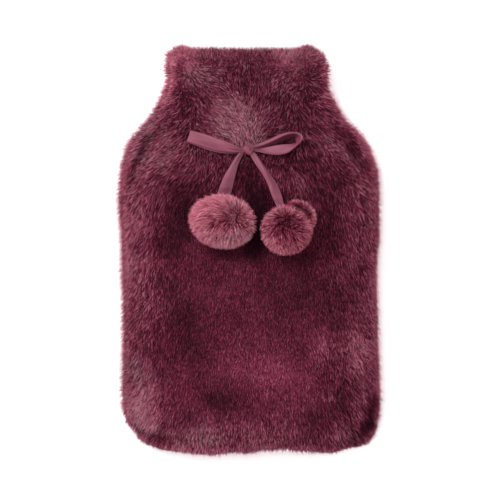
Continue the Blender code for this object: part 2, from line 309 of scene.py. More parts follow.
def along(rows, column, place):
    """Smooth curve through one column; place counts rows from the first."""
    last = len(rows) - 1
    index = min(int(place), last - 1)
    t = place - index
    before, start, end, after = (
        rows[min(max(k, 0), last)][column] for k in range(index - 1, index + 3))
    lean_in = (end - before) / 2
    lean_out = (after - start) / 2
    return ((2 * t ** 3 - 3 * t ** 2 + 1) * start + (t ** 3 - 2 * t ** 2 + t) * lean_in
            + (3 * t ** 2 - 2 * t ** 3) * end + (t ** 3 - t ** 2) * lean_out)


def smooth_step(low, high, value):
    """0 at low and 1 at high, and soft at both ends."""
    share = min(max((value - low) / (high - low), 0), 1)
    return share * share * (3 - 2 * share)


# %% [markdown]
# ## The edge seen from above
# The seam of a sewn pouch is never quite even: the neck ends in two soft ears, the
# sides are drawn in by tucks and the bottom seam waves. These small shifts were set
# from differences that another script measured between a render's edge and the
# photo's, so they are measurements and not a rule of the pattern.

# %% Seen from above: ears at the mouth, tucks and waves
EARS = ((-0.86, 0.11, 4.2), (0.84, 0.11, 4.8))          # place, reach, rise in mm
BOTTOM_WAVES = (                                        # x and rise in mm
    (-110, 1.3), (-100, 3.4), (-95, 0.4), (-91, -3.3), (-84, -2.6), (-64, -1.7), (-52, -1.6),
    (-40, -2.6), (-28, -3.1), (-14, -0.9), (-6, -0.9), (0, -2.0), (6, 0.0), (12, 1.2), (20, 0.8),
    (29, 2.6), (40, 0.6), (52, -0.4), (64, -1.8), (73, -3.5), (78, -0.9), (86, -0.4), (94, -2.7),
    (102, -3.8), (110, -0.1))
LEFT_TUCKS = (                                          # y and mm inwards
    (-162, -1.0), (-156, 1.6), (-148, 0.0), (-136, 0.2), (-128, 1.4), (-100, 1.0), (-60, 1.6),
    (-20, 1.8), (0, 2.4), (24, 2.4), (60, 2.2), (90, 2.4), (104, 3.6), (120, 3.0), (132, 2.0),
    (150, 2.0), (160, 1.0), (168, -1.0), (173, -2.8))
RIGHT_TUCKS = (
    (-162, -0.8), (-150, 1.2), (-136, 0.2), (-114, 0.0), (-60, 0.5), (0, 0.0), (12, -0.8),
    (24, 0.2), (60, 0.4), (84, 0.6), (96, 1.6), (108, 3.2), (120, 1.3), (144, 1.7), (156, 0.1),
    (168, -1.6), (173, -3.0))
CORNER_SQUARENESS = 6.0
CORNER_BLEND, CORNER_KEPT = 3.5, 0.5     # the bottom right corner is moved inwards less
CORNER_START = 0.6         # u from which the corner counts
MOUTH_BLEND, BOTTOM_BLEND = 1.5, 2
MOUTH_TUCK = 4.2           # mm from the pile's tips back to the cloth's edge at the mouth
BOTTOM_TUCK = 1.4          # and at the bottom, where the pile is combed outwards
BOTTOM_SHARE, MOUTH_SHARE = 0.15, 0.85   # shares of the length where these tucks begin


def knotted(at, knots):
    """Value at a place between knots of (place, value)."""
    return float(np.interp(at, *zip(*knots)))


def outline_point(place, u, inset):
    """Point of the cover seen from above, in mm; inset moves every edge inwards."""
    corner = smooth_step(CORNER_BLEND, 0, place) * smooth_step(CORNER_START, 1, u)
    inset *= 1 - CORNER_KEPT * corner
    side = along(SECTION_ROWS, "side", place)
    middle = along(SECTION_ROWS, "middle", place)
    left = along(SECTION_ROWS, "left", place) + inset + knotted(side, LEFT_TUCKS)
    right = along(SECTION_ROWS, "right", place) - inset - knotted(side, RIGHT_TUCKS)
    x = (left + right) / 2 + u * (right - left) / 2
    y = middle + (side - middle) * abs(u) ** CORNER_SQUARENESS
    for centre, reach, rise in EARS:
        ear = math.exp(-((u - centre) / reach) ** 2)
        y += smooth_step(MOUTH - MOUTH_BLEND, MOUTH, place) * rise * ear
    y += (1 - smooth_step(0, BOTTOM_BLEND, place)) * knotted(x, BOTTOM_WAVES)
    top, bottom = SECTION_ROWS[-1]["middle"], SECTION_ROWS[0]["middle"]
    share = (y - bottom) / (top - bottom)
    if inset:
        y += BOTTOM_TUCK * (1 - corner) * smooth_step(BOTTOM_SHARE, 0, share)
        y -= MOUTH_TUCK * smooth_step(MOUTH_SHARE, 1, share)
    return x, y + inset * (1 - share)


print("half width at the belly in mm:", round(outline_point(6, 1, 0)[0], 1))

# %% [markdown]
# ## Folds in the front
# Cloth creases where it is pulled in and swells where the filling pushes. Each fold
# is a line with a reach and a depth, less than nothing for a swell, and each pompom
# lies in a nest that its weight presses into the pile.

# %% Seen from the side: creases, swells and the nests under the pompoms
FOLD_COLUMNS = ("x0", "y0", "x1", "y1", "reach", "depth")
FOLDS = {
    "mouth valley": (6, 166, 3, 128, 13, 3.5),
    "left ear swell": (-52, 160, -14, 122, 13, -2.0),
    "right ear swell": (56, 158, 20, 138, 13, -2.0),
    "left neck notch": (-72, 146, -57, 160, 5, 4.0),
    "right neck groove": (47, 158, 70, 131, 6, 3.0),
    "brushed swell": (2, 128, 1, 98, 20, -2.0),
    "bow pinch": (-4, 84, 3, 84, 14, 3.5),
    "left shoulder seam, lower": (-108, 50, -92, 74, 6, 4.0),
    "left shoulder seam, upper": (-92, 74, -73, 86, 6, 3.5),
    "right shoulder seam, upper": (68, 93, 87, 76, 6, 4.0),
    "right shoulder seam, lower": (87, 76, 107, 49, 6, 4.0),
    "left side clump": (-62, -34, -56, -85, 11, 2.2),
    "left side swell": (-86, 10, -82, -70, 12, -1.6),
    "bottom left seam": (-84, -156, -28, -162, 6, 3.0),
    "bottom right seam, side": (109, -123, 100, -148, 6, 3.5),
    "bottom right seam, end": (100, -148, 82, -162, 6, 3.5),
    "lower left dip": (-36, -126, -18, -128, 12, 2.2),
    "lower right dip": (76, -118, 80, -146, 11, 2.2),
    "lower right swell": (60, -78, 96, -112, 16, -2.0),
}
FOLD_ROWS = named_rows(FOLD_COLUMNS, FOLDS.values())
NEST_DEPTH = 5.0
NESTS = ((-21.3, 23.5, 18.0, 36.0), (36.0, 19.0, 17.0, 34.0))    # x, y, level, outer


def nearness(x, y, row):
    """1 on a row's line from (x0, y0) to (x1, y1), fading to 0 past its reach."""
    run_x, run_y = row["x1"] - row["x0"], row["y1"] - row["y0"]
    off_x, off_y = x - row["x0"], y - row["y0"]
    length = run_x ** 2 + run_y ** 2
    share = min(max((off_x * run_x + off_y * run_y) / length, 0), 1) if length else 0
    distance = math.hypot(off_x - share * run_x, off_y - share * run_y)
    return math.exp(-(distance / row["reach"]) ** 2)


def fold_depth(x, y):
    depth = sum(fold["depth"] * nearness(x, y, fold) for fold in FOLD_ROWS)
    for nest_x, nest_y, level, outer in NESTS:
        distance = math.hypot(x - nest_x, y - nest_y)
        depth += NEST_DEPTH * (1 - smooth_step(level, outer, distance))
    return depth


print("nest under the left pompom in mm:", round(fold_depth(*NESTS[0][:2]), 1))

# %% [markdown]
# ## Front and back
# The front rises from the seam along a superellipse, full in the middle and steep at
# the edge. The back rolls down from the seam in a quarter circle and then lies flat,
# because the cover's own weight presses it on the table.

# %% The two skins
SEAM, SEAM_GAP = 22.0, 0.3               # the seam's height and its gap, mm
BOTTOM_ROLL, BACK_ROLL = 62.0, 30.0      # mm in which front and back reach their full height
SIDE_FULLNESS, END_FULLNESS, EDGE_STEEPNESS = 2.5, 2.3, 0.46
FOLDS_START, FOLDS_FULL = 0.1, 0.7       # share of the rise over which folds come in


def front_point(place, u, inset):
    """Point of the front skin, inset mm inside the CAD surface."""
    x, y = outline_point(place, u, inset)
    base = SEAM + SEAM_GAP / 2
    crown = along(SECTION_ROWS, "crown", place) - inset
    bottom = along(SECTION_ROWS, "middle", place) - SECTION_ROWS[0]["middle"]
    from_end = min(bottom / BOTTOM_ROLL, 1)
    rise = ((1 - abs(u) ** SIDE_FULLNESS) * (1 - (1 - from_end) ** END_FULLNESS)) ** EDGE_STEEPNESS
    fold = fold_depth(x, y) * smooth_step(FOLDS_START, FOLDS_FULL, rise)
    return Vector((x, y, base + (crown - base) * rise - fold)) * MM


def back_point(place, u, inset):
    """Point of the back skin, which lies flat on the surface."""
    x, y = outline_point(place, u, inset)
    top = SEAM - SEAM_GAP / 2
    half = (along(SECTION_ROWS, "right", place) - along(SECTION_ROWS, "left", place)) / 2
    bottom = along(SECTION_ROWS, "middle", place) - SECTION_ROWS[0]["middle"]
    from_side = min((1 - abs(u)) * half / BACK_ROLL, 1)
    from_end = min(bottom / BACK_ROLL, 1)
    rise = math.sqrt((1 - (1 - from_side) ** 2) * (1 - (1 - from_end) ** 2))
    return Vector((x, y, top - (top - inset) * rise)) * MM


CELL_LENGTH, CELLS_ACROSS = 5.0, 56


def row_places(first=0, last=MOUTH):
    """Places of the rows between two sections, about CELL_LENGTH apart."""
    places = []
    for index in range(first, last):
        run = SECTION_ROWS[index + 1]["middle"] - SECTION_ROWS[index]["middle"]
        steps = max(2, round(run / CELL_LENGTH))
        places += [index + step / steps for step in range(steps)]
    return places + [last]


def across_places(cells=CELLS_ACROSS):
    return [math.sin(math.pi / 2 * (2 * k / cells - 1)) for k in range(cells + 1)]


def skin(point_at, places, inset):
    return [[point_at(place, u, inset) for u in across_places()] for place in places]


print("rows of the form:", len(row_places()), "by", len(across_places()))

# %% [markdown]
# ## Which way the pile lies
# Real fur fabric has a nap that a hand can brush. Here it was brushed out over the
# mouth's edge, down from both ears into the middle of the neck, out over the
# shoulders and straight down the body. A few combing strokes say so, each with its
# place and the way the tips point; between them the direction is a weighted mean,
# and where strokes disagree the pile stands up, as it does on the real cloth.

# %% Combing strokes
COMB_COLUMNS = ("x", "y", "angle")       # mm, and degrees from +X towards +Y
COMB = (
    # mouth
    (-63, 168, 135), (-42, 170, 110), (-14, 172, 95), (14, 172, 88), (38, 170, 70), (60, 166, 45),
    # neck, left and right edges
    (-71, 152, 180), (-70, 134, 208), (-80, 116, 226), (67, 150, 0), (70, 132, -28), (80, 114, -48),
    # from the ears to the middle of the neck
    (-50, 150, -30), (-40, 138, -38), (-26, 122, -36), (-14, 106, -34), (-30, 100, -20),
    (46, 152, 215), (36, 138, 222), (24, 120, 235), (12, 108, 242), (26, 100, 200),
    (-4, 150, 265), (6, 150, 275), (0, 130, 270), (0, 96, 270),
    # shoulders
    (-62, 108, 228), (-88, 90, 222), (-75, 82, 224), (-100, 66, 236), (-58, 64, 222), (-40, 66, 245),
    (48, 116, -62), (64, 100, -40), (92, 92, -52), (80, 78, -60), (100, 64, -62), (60, 66, -70),
    # body
    (-104, 20, 243), (-75, 40, 266), (-60, 10, 268), (-45, 50, 250), (0, 60, 268), (60, 36, 272),
    (78, 30, 270), (104, 20, 290), (-106, -60, 246), (-70, -60, 262), (-40, -20, 264), (0, -40, 270),
    (40, -30, 273), (70, -60, 276), (104, -60, 290), (-60, -100, 262), (0, -110, 270), (60, -110, 276),
    # bottom
    (-104, -120, 240), (-88, -150, 236), (-50, -160, 262), (0, -165, 270), (50, -160, 276),
    (90, -150, 300), (106, -120, 300),
)
COMB_ROWS = named_rows(COMB_COLUMNS, COMB)
COMB_REACH = 12.0          # mm over which strokes blend
print("combing strokes:", len(COMB_ROWS))


def nap(x, y):
    """Which way the tips point at (x, y) in mm, and how strongly they agree."""
    total_x = total_y = total = 0.0
    for stroke in COMB_ROWS:
        distance = math.hypot(x - stroke["x"], y - stroke["y"])
        weight = 1 / (COMB_REACH ** 2 + distance ** 2) ** 2
        angle = math.radians(stroke["angle"])
        total_x += weight * math.cos(angle)
        total_y += weight * math.sin(angle)
        total += weight
    return Vector((total_x / total, total_y / total, 0))


# %% [markdown]
# ## Light and dark pile
# These rows paint light and shade into the pile's colour. Pile brushed against the
# nap, and pile at the rims, catches the lamp and gets painted light; creases, grooves and
# dips get painted shade, and pile under and beside the pompoms and round the bow gets
# painted shadow. Each row is a soft brush mark along a line: how far it reaches, how
# much lighter it makes the pile, and how much greyer, which is less red: a painted sheen.
# Most rows were set or corrected from lists that another script printed: it compared
# renders with the photo and named the places that differed in brightness. So they show
# what this one cover looks like, and are not worked out from how fur behaves.

# %% Brush marks
MARK_COLUMNS = ("x0", "y0", "x1", "y1", "reach", "lighter", "dusty")
# Rows below 0 are painted shade, and painted shadow by the pompoms, the bow's tails and the knot; rows
# above 0 are painted light. The last column is a painted grey sheen.
MARKS = {
    "mouth band": (-58, 162, 60, 162, 12, 0.16, 0.1),
    "brushed patch": (-12, 118, -7, 94, 14, 0.27, 0.5),
    "brushed patch, right": (8, 110, 12, 96, 11, 0.17, 0.35),
    "left ear": (-64, 164, -50, 167, 8, 0.28, 0.0),
    "left neck edge": (-68, 152, -68, 128, 7, 0.46, 0.1),
    "left ear, inside": (-46, 150, -36, 146, 9, 0.12, 0.6),
    "left neck": (-32, 108, -28, 98, 9, 0.12, 0.3),
    "right ear": (30, 164, 48, 162, 9, 0.26, 0.2),
    "right neck edge": (65, 156, 68, 134, 5, 0.12, 0.0),
    "left shoulder, neck side": (-80, 112, -84, 98, 7, 0.08, 0.5),
    "left shoulder": (-84, 82, -66, 78, 9, 0.20, 0.4),
    "left shoulder, inner": (-62, 94, -40, 74, 9, 0.12, 0.2),
    "left side": (-96, 62, -96, 18, 9, 0.13, 0.1),
    "left side, lower": (-96, -2, -96, -18, 8, 0.08, 0.2),
    "right shoulder": (63, 98, 92, 78, 5, 0.16, 0.4),
    "right of the bow": (42, 58, 48, 52, 6, 0.14, 0.5),
    "neck": (-40, 146, 40, 146, 22, 0.08, 0.1),
    "left rim": (-107, 86, -106, -150, 4, 0.14, 0.0),
    "lower right": (92, -76, 93, -92, 9, 0.34, 0.3),
    "lower right, inner": (61, -78, 61, -90, 8, 0.18, 0.2),
    "lower middle": (-4, -96, 24, -100, 13, 0.18, 0.0),
    "lower left": (-94, -96, -92, -104, 7, 0.10, 0.5),
    "bottom left, upper": (-100, -122, -84, -120, 9, 0.28, 0.3),
    "bottom left": (-90, -132, -84, -148, 10, 0.46, 0.5),
    "bottom": (-52, -158, -28, -158, 10, 0.26, 0.5),
    "bottom middle": (8, -156, 30, -152, 9, 0.08, 0.2),
    "bottom middle, upper": (14, -141, 20, -143, 14, 0.10, 0.0),
    "right flank, middle": (92, -64, 86, -44, 8, 0.10, 0.0),
    "left of the foot": (-74, -117, -52, -117, 18, 0.08, 0.0),
    "left shoulder rim": (-90, 105, -75, 123, 4, 0.10, 0.0),
    "bottom seam, right": (55, -171, 83, -169, 4, 0.13, 0.0),
    "bottom right": (76, -152, 88, -154, 8, 0.20, 0.4),
    "mouth valley": (2, 148, 0, 138, 8, -0.16, 0.0),
    "left neck crease": (-62, 124, -56, 120, 8, -0.12, 0.0),
    "right neck swell": (24, 130, 42, 108, 10, -0.18, 0.0),
    "right neck crease": (46, 132, 56, 124, 8, -0.08, 0.0),
    "right shoulder, neck side": (70, 104, 86, 90, 8, -0.14, 0.0),
    "under the left loop": (-40, 80, -24, 78, 6, -0.12, 0.0),
    "left of the left pompom": (-58, 52, -50, 46, 9, -0.16, 0.0),
    "right of the knot": (28, 75, 50, 74, 10, -0.20, 0.0),
    "right chest": (54, 52, 78, 58, 9, -0.14, 0.0),
    "between the tails": (0, 70, 4, 50, 9, -0.34, 0.0),
    "between the pompoms": (10, 48, 6, 0, 8, -0.45, 0.0),
    "right of the pompoms": (68, 38, 72, 10, 9, -0.22, 0.0),
    "left of the pompoms": (-60, 34, -66, 2, 9, -0.26, 0.0),
    "above the left pompom": (-56, 57, -34, 54, 9, -0.11, 0.0),
    "left belly": (-70, -28, -50, -46, 10, -0.16, 0.0),
    "right belly": (46, -34, 76, -36, 15, -0.18, 0.0),
    "middle belly": (22, -30, 22, -56, 12, -0.07, 0.0),
    "left clump": (-56, -58, -44, -84, 11, -0.16, 0.0),
    "left clump, lower": (-72, -98, -70, -106, 7, -0.10, 0.0),
    "lower left dip": (-30, -124, -22, -127, 5, -0.24, 0.0),
    "lower left dip, outer": (-36, -120, -16, -124, 10, -0.12, 0.0),
    "lower middle dip": (4, -128, 8, -134, 6, -0.12, 0.0),
    "lower left spot": (-52, -136, -52, -140, 6, -0.10, 0.0),
    "lower right dip": (80, -116, 80, -130, 8, -0.24, 0.0),
    "bottom right dip": (54, -142, 64, -138, 10, -0.20, 0.0),
    "right corner": (105, -126, 101, -146, 5, -0.42, 0.0),
    "right corner, end": (101, -146, 90, -158, 5, -0.30, 0.0),
    "left flank": (-98, 90, -94, -140, 10, 0.09, 0.1),
    "left seam side": (-108, 100, -104, 62, 4, 0.04, 0.0),
    "right seam side": (108, 76, 84, 112, 4, 0.24, 0.0),
    "right neck side": (80, 116, 68, 140, 4, 0.14, 0.0),
    "bottom seam": (15, -169, 46, -170, 4, 0.24, 0.0),
    "bottom seam, left": (-60, -171, -9, -171, 5, 0.26, 0.0),
    "right rim, upper": (109, -8, 109, 20, 3.5, -0.16, 0.0),
    "right neck rim": (68, 137, 64, 166, 3, -0.14, 0.0),
    "right flank spot": (108, -28, 106, -18, 4, 0.10, 0.0),
    "left rim, middle": (-107, -10, -107, 34, 3.5, 0.12, 0.0),
    "left ear rim": (-59, 171, -28, 170, 3, 0.14, 0.0),
    "mouth rim": (-14, 169, 12, 170, 3, 0.12, 0.0),
    "left corner": (-93, -157, -101, -148, 3, 0.18, 0.0),
    "left foot edge": (-99, -121, -100, -93, 6, -0.18, 0.0),
    "left of the brushed patch": (-28, 104, -26, 126, 8, 0.15, 0.3),
    "above the brushed patch": (0, 121, 2, 126, 7, 0.15, 0.2),
    "bottom, above the seam": (-30, -149, -2, -150, 11, 0.13, 0.1),
    "lower right belly": (44, -114, 54, -115, 12, 0.14, 0.0),
    "lower belly": (15, -118, 18, -112, 8, 0.10, 0.0),
    "lower left belly": (-70, -130, -72, -134, 8, 0.10, 0.0),
    "mouth, middle": (-6, 159, 1, 155, 7, -0.18, 0.0),
    "mouth, left": (-39, 155, -36, 152, 8, -0.10, 0.0),
    "mouth, right": (50, 155, 54, 152, 7, -0.12, 0.0),
    "mouth edge, right": (36, 164, 45, 172, 6, 0.16, 0.1),
    "right of the right loop": (52, 99, 54, 90, 7, -0.14, 0.0),
    "right chest, outer": (70, 66, 76, 60, 9, -0.14, 0.0),
    "right belly, lower": (68, -52, 72, -60, 9, -0.12, 0.0),
    "left arm": (-90, 28, -88, 22, 6, 0.14, 0.0),
    "left edge spot": (-101, 44, -100, 48, 6, -0.14, 0.0),
    "left shoulder groove": (-99, 62, -84, 92, 3.5, -0.30, 0.0),
    "left shoulder groove, upper": (-84, 92, -66, 112, 3.5, -0.20, 0.0),
    "right shoulder groove": (86, 90, 100, 68, 4, -0.30, 0.0),
    "right neck groove": (50, 129, 58, 140, 5, -0.14, 0.0),
    "left ear notch": (-68, 148, -58, 154, 3, -0.34, 0.0),
    "left pompom shadow": (-52, 12, -49, 38, 4, -0.26, 0.0),
    "left ear, lower": (-58, 150, -46, 166, 9, 0.14, 0.0),
    "right neck, lower": (54, 133, 64, 128, 7, 0.13, 0.0),
    "left shoulder, outer": (-74, 104, -73, 111, 8, 0.14, 0.0),
    "left flank, middle": (-88, -34, -81, -4, 11, 0.13, 0.0),
    "left arm, inner": (-84, 28, -83, 72, 8, 0.13, 0.0),
    "right shoulder, lower": (95, 60, 90, 67, 9, 0.12, 0.0),
    "lower right, under the swell": (84, -160, 90, -149, 9, -0.12, 0.0),
    "lower left, above the seam": (-76, -162, -64, -161, 11, 0.12, 0.0),
    "left bottom groove": (-92, -150, -74, -157, 3, -0.34, 0.0),
    "left bottom groove, end": (-74, -157, -50, -160, 3, -0.22, 0.0),
}
MARK_ROWS = named_rows(MARK_COLUMNS, MARKS.values())
changes = [mark["lighter"] for mark in MARK_ROWS]
print(len(MARK_ROWS), "brush marks, from", min(changes), "to", max(changes))

# %% [markdown]
# The marks add up at each point, and over them lies the fabric's own slow mottling.
# Pile at the rim is seen from its side, where pale tips overlap, so it gets painted
# light there, and the cell counts how near a point is to the sides, the bottom or the mouth.

# %% Shade at a point
FRONT_SHADE, BACK_SHADE = 0.385, 0.38
BROAD, FINE = 26.0, 8.0    # mm across the pile's natural mottling
BROAD_SHADE, BROAD_GREY_SHEEN = 0.10, 0.2      # how much the broad mottling changes
# Painted light: pile near the rim is drawn paler.
RIM_LIGHT, RIM_REACH = 0.48, 6.5         # pile at the rim is seen from its side: paler


def brushed(x, y):
    """The painted light and shade, and the painted grey sheen, that the marks give at (x, y) in mm."""
    lighter = dusty = 0.0
    for mark in MARK_ROWS:
        near = nearness(x, y, mark)
        lighter += mark["lighter"] * near
        dusty += mark["dusty"] * near
    return lighter, dusty


def mottled(point, size):
    return noise.noise(point / (size * MM))


def rim_nearness(x, y):
    """1 at the sides and the bottom of the outline, fading to 0 inside."""
    middles = [row["middle"] for row in SECTION_ROWS]
    place = float(np.interp(y, middles, range(len(middles))))
    from_left = x - along(SECTION_ROWS, "left", place) - knotted(y, LEFT_TUCKS)
    from_right = along(SECTION_ROWS, "right", place) - knotted(y, RIGHT_TUCKS) - x
    nearest = max(min(from_left, from_right, y - middles[0] - knotted(x, BOTTOM_WAVES)), 0)
    return math.exp(-(nearest / RIM_REACH) ** 2)


def mouth_nearness(y):
    """1 at the mouth's edge, fading to 0 inside."""
    return math.exp(-(max(SECTION_ROWS[-1]["middle"] - MOUTH_TUCK - y, 0) / RIM_REACH) ** 2)


print("change at the middle of the belly:", round(brushed(0, 0)[0], 2))

# %% [markdown]
# ## The bed that the pile grows from
# Each bed is a plain mesh that only the Geometry Nodes see. It carries what a weaver
# and a hand give the pile at each point: the way it grows, its length and how uneven
# that is, how ruffled it is and how thickly it stands. It also carries the pile's shade,
# with painted light and shade in it, and how grey it is, which is a painted sheen.

# %% Make a bed with its attributes
BED_VALUES = ("shade", "dusty", "reach", "girth", "straggle", "ruffle", "plenty")


def bed_mesh(name, grid, describe, closed=False):
    """A mesh of rows of points; describe(point, normal) gives growth and BED_VALUES."""
    shape = bmesh.new()
    join_rows(shape, vertex_rows(shape, grid), closed)
    shape.normal_update()
    mesh = mesh_of(shape, name)
    growth, values = [], {value: [] for value in BED_VALUES}
    for vertex in mesh.vertices:
        way, found = describe(vertex.co, vertex.normal)
        growth.extend(way.normalized())
        for value in BED_VALUES:
            values[value].append(found[value])
    store(mesh, "growth", growth, "FLOAT_VECTOR", "vector")
    for value in BED_VALUES:
        store(mesh, value, values[value])
    return placed(name, mesh)


LEAST_LAID = 0.05          # the least square of how far pile follows the comb


def grown(normal, comb, stand):
    """Growth that stands off the cloth by stand and otherwise follows the comb."""
    level = comb - normal * comb.dot(normal)
    return normal * stand + level * math.sqrt(max(1 - stand ** 2, LEAST_LAID))


# %% [markdown]
# ## What the front pile does
# A hand that strokes the cover smooths the belly and leaves the neck, the sides and
# the foot ruffled. Ruffled pile is longer and falls into locks that turn their own
# way. Where combing strokes meet the pile stands up and looks shorter, and on the
# steep sides it is cut short and grows straight out.

# %% Growth of the front pile
RUFFLED_NECK, RUFFLED_SIDE, RUFFLED_FOOT = (15, 85), (45, 95), (-120, -165)     # mm
SIDE_RUFFLE, FOOT_RUFFLE = 0.8, 0.7
SMOOTH_PILE, RUFFLED_PILE = 0.16, 1.0
STAND, SIDE_STAND = 0.40, 0.60
SMOOTH_LENGTH, RIM_LENGTH, STOOD_LENGTH = 0.64, 0.46, 0.6    # shares of the pile's length
LOCK_SIZE, LOCK_TURN = 9.0, 0.45         # mm across the locks that ruffled pile falls into
FINE_SHADE, FINE_SHADE_ADDED = 0.05, 0.05           # on smooth pile, and more on ruffled
FRONT_GREY_SHEEN = 0.15
SLOPE_SHORTENS, SLOPE_LIFTS = 1.3, 1.5   # how soon a slope counts for length and for stand
RUFFLED_THINNER, EDGE_THINNER = 0.14, 0.3
STRAGGLE, SLOPE_STRAGGLE = 0.25, 0.35    # unevenness of the tufts' lengths


def ruffled(x, y):
    """0 on the smooth belly, 1 on the ruffled neck, sides and bottom; x and y in mm."""
    neck = smooth_step(*RUFFLED_NECK, y)
    side = smooth_step(*RUFFLED_SIDE, abs(x)) * SIDE_RUFFLE
    foot = smooth_step(*RUFFLED_FOOT, y) * FOOT_RUFFLE
    return 1 - (1 - neck) * (1 - side) * (1 - foot)


def front_look(point, normal):
    """Shade of the front pile, with painted light and shade in it, and how grey its painted sheen is."""
    x, y = point.x / MM, point.y / MM
    lighter, dusty = brushed(x, y)
    broad = mottled(point, BROAD)
    fine = FINE_SHADE + FINE_SHADE_ADDED * ruffled(x, y)
    shade = FRONT_SHADE + lighter + BROAD_SHADE * broad + fine * mottled(point, FINE)
    return {"shade": shade + RIM_LIGHT * rim_nearness(x, y),
            "dusty": dusty + FRONT_GREY_SHEEN + BROAD_GREY_SHEEN * broad}


def front_pile(point, normal):
    x, y = point.x / MM, point.y / MM
    rough = ruffled(x, y)
    steep = 1 - max(normal.z, 0)
    slope = min(steep * SLOPE_SHORTENS, 1)
    comb = nap(x, y)
    laid = min((comb - normal * comb.dot(normal)).length, 1)
    comb += noise.noise_vector(point / (LOCK_SIZE * MM)) * LOCK_TURN * rough
    reach = SMOOTH_LENGTH + (1 - SMOOTH_LENGTH) * rough
    reach += (RIM_LENGTH - reach) * max(slope, rim_nearness(x, y))
    edge = max(rim_nearness(x, y), mouth_nearness(y))
    found = front_look(point, normal) | {
        "reach": reach * (STOOD_LENGTH + (1 - STOOD_LENGTH) * laid),
        "girth": (1 - RUFFLED_THINNER * rough) * (1 - EDGE_THINNER * edge),
        "straggle": STRAGGLE + SLOPE_STRAGGLE * slope,
        "ruffle": SMOOTH_PILE + (RUFFLED_PILE - SMOOTH_PILE) * rough,
        "plenty": 1.0,
    }
    stand = STAND + (SIDE_STAND - STAND) * min(steep * SLOPE_LIFTS, 1)
    return grown(normal, comb, stand), found


FRONT_INSET = 3.6          # mm from the CAD surface down to the pile's roots
FRONT_PARTS = {"foot": (0, 4), "belly": (4, 6), "chest": (6, 9), "neck": (9, MOUTH)}
front_beds = {}
for part, (first, last) in FRONT_PARTS.items():
    grid = skin(front_point, row_places(first, last), FRONT_INSET)
    front_beds[part] = bed_mesh("bed_" + part, grid, front_pile)
    print("bed", part, len(grid), "rows")

# %% [markdown]
# ## One tuft
# At this scale a fibre is far thinner than a pixel, so what the eye sees is the
# tuft: a few dozen fibres that cling together and end in a point. A tuft is a closed
# spike of a few faces. It is repeated a hundred thousand times, so every face counts.
# Its UV map runs from root to tip, and across it the width is almost nothing.

# %% Tuft mesh
CORNER_RADIUS, THIRD_TURN = 0.577, 2.0944           # of a three-cornered root with sides of 1
SIDE_MAP, ROOT_MAP = ((0, 0), (1, 0), (0.5, 1)), ((0, 0), (1, 0), (0.5, 0.02))


def tuft_mesh():
    """A spike of unit length along +Z that tapers from its root to a point."""
    shape = bmesh.new()
    uv = shape.loops.layers.uv.new("tuft_uv")
    base = []
    for k in range(3):
        corner = Vector((math.cos(k * THIRD_TURN), math.sin(k * THIRD_TURN), 0))
        base.append(shape.verts.new(corner * CORNER_RADIUS))
    tip = shape.verts.new((0, 0, 1))
    sides = [shape.faces.new((base[k], base[(k + 1) % 3], tip)) for k in range(3)]
    root = shape.faces.new(base[::-1])
    for face in (*sides, root):
        for loop, place in zip(face.loops, ROOT_MAP if face is root else SIDE_MAP):
            loop[uv].uv = place
    return mesh_of(shape, "tuft")


tuft = placed("tuft", tuft_mesh())
print("faces in a tuft:", len(tuft.data.polygons))

# %% [markdown]
# ## Growing the pile with Geometry Nodes
# Pile repeats one thing over a surface, which is what Geometry Nodes are for. Points
# are scattered on the bed and a tuft stands on each. A second, sparser scatter makes
# the clumps: every tuft leans towards the point that its nearest clump leans to,
# which gives the pointed locks of real plush. Each tuft keeps one shade, written
# into its UV map: U is the shade, V runs from root to tip. The lower half of U
# holds the red pile and the upper half the greyer one, whose grey is a painted sheen.

# %% The pile's node tree
PILE_INPUTS = {
    "Tuft": "NodeSocketObject", "Material": "NodeSocketMaterial",
    "Density": "NodeSocketFloat", "Length": "NodeSocketFloat", "Width": "NodeSocketFloat",
    "Clump Spacing": "NodeSocketFloat", "Clump Pull": "NodeSocketFloat",
    "Spread": "NodeSocketFloat", "Contrast": "NodeSocketFloat",
    "Floor": "NodeSocketFloat", "Seed": "NodeSocketInt",
}
UV_WIDTH = 0.002
CALM_CONTRAST = 0.6        # smooth pile has this share of the contrast between tufts
CALM_LEAN = 0.35           # and this share of the way that ruffled tufts lean apart
CLUMP_LEAN = 1.2           # how far clumps lean, against single tufts
CLUMP_SHADE, RUFFLED_CLUMP_SHADE = 0.05, 0.16
THIN, THICK = 0.75, 1.3    # range of the tufts' widths
CLUMPS_TRIED = 3           # places tried per clump's spacing squared
ANY_WAY = ((-1, -1, -1), (1, 1, 1))


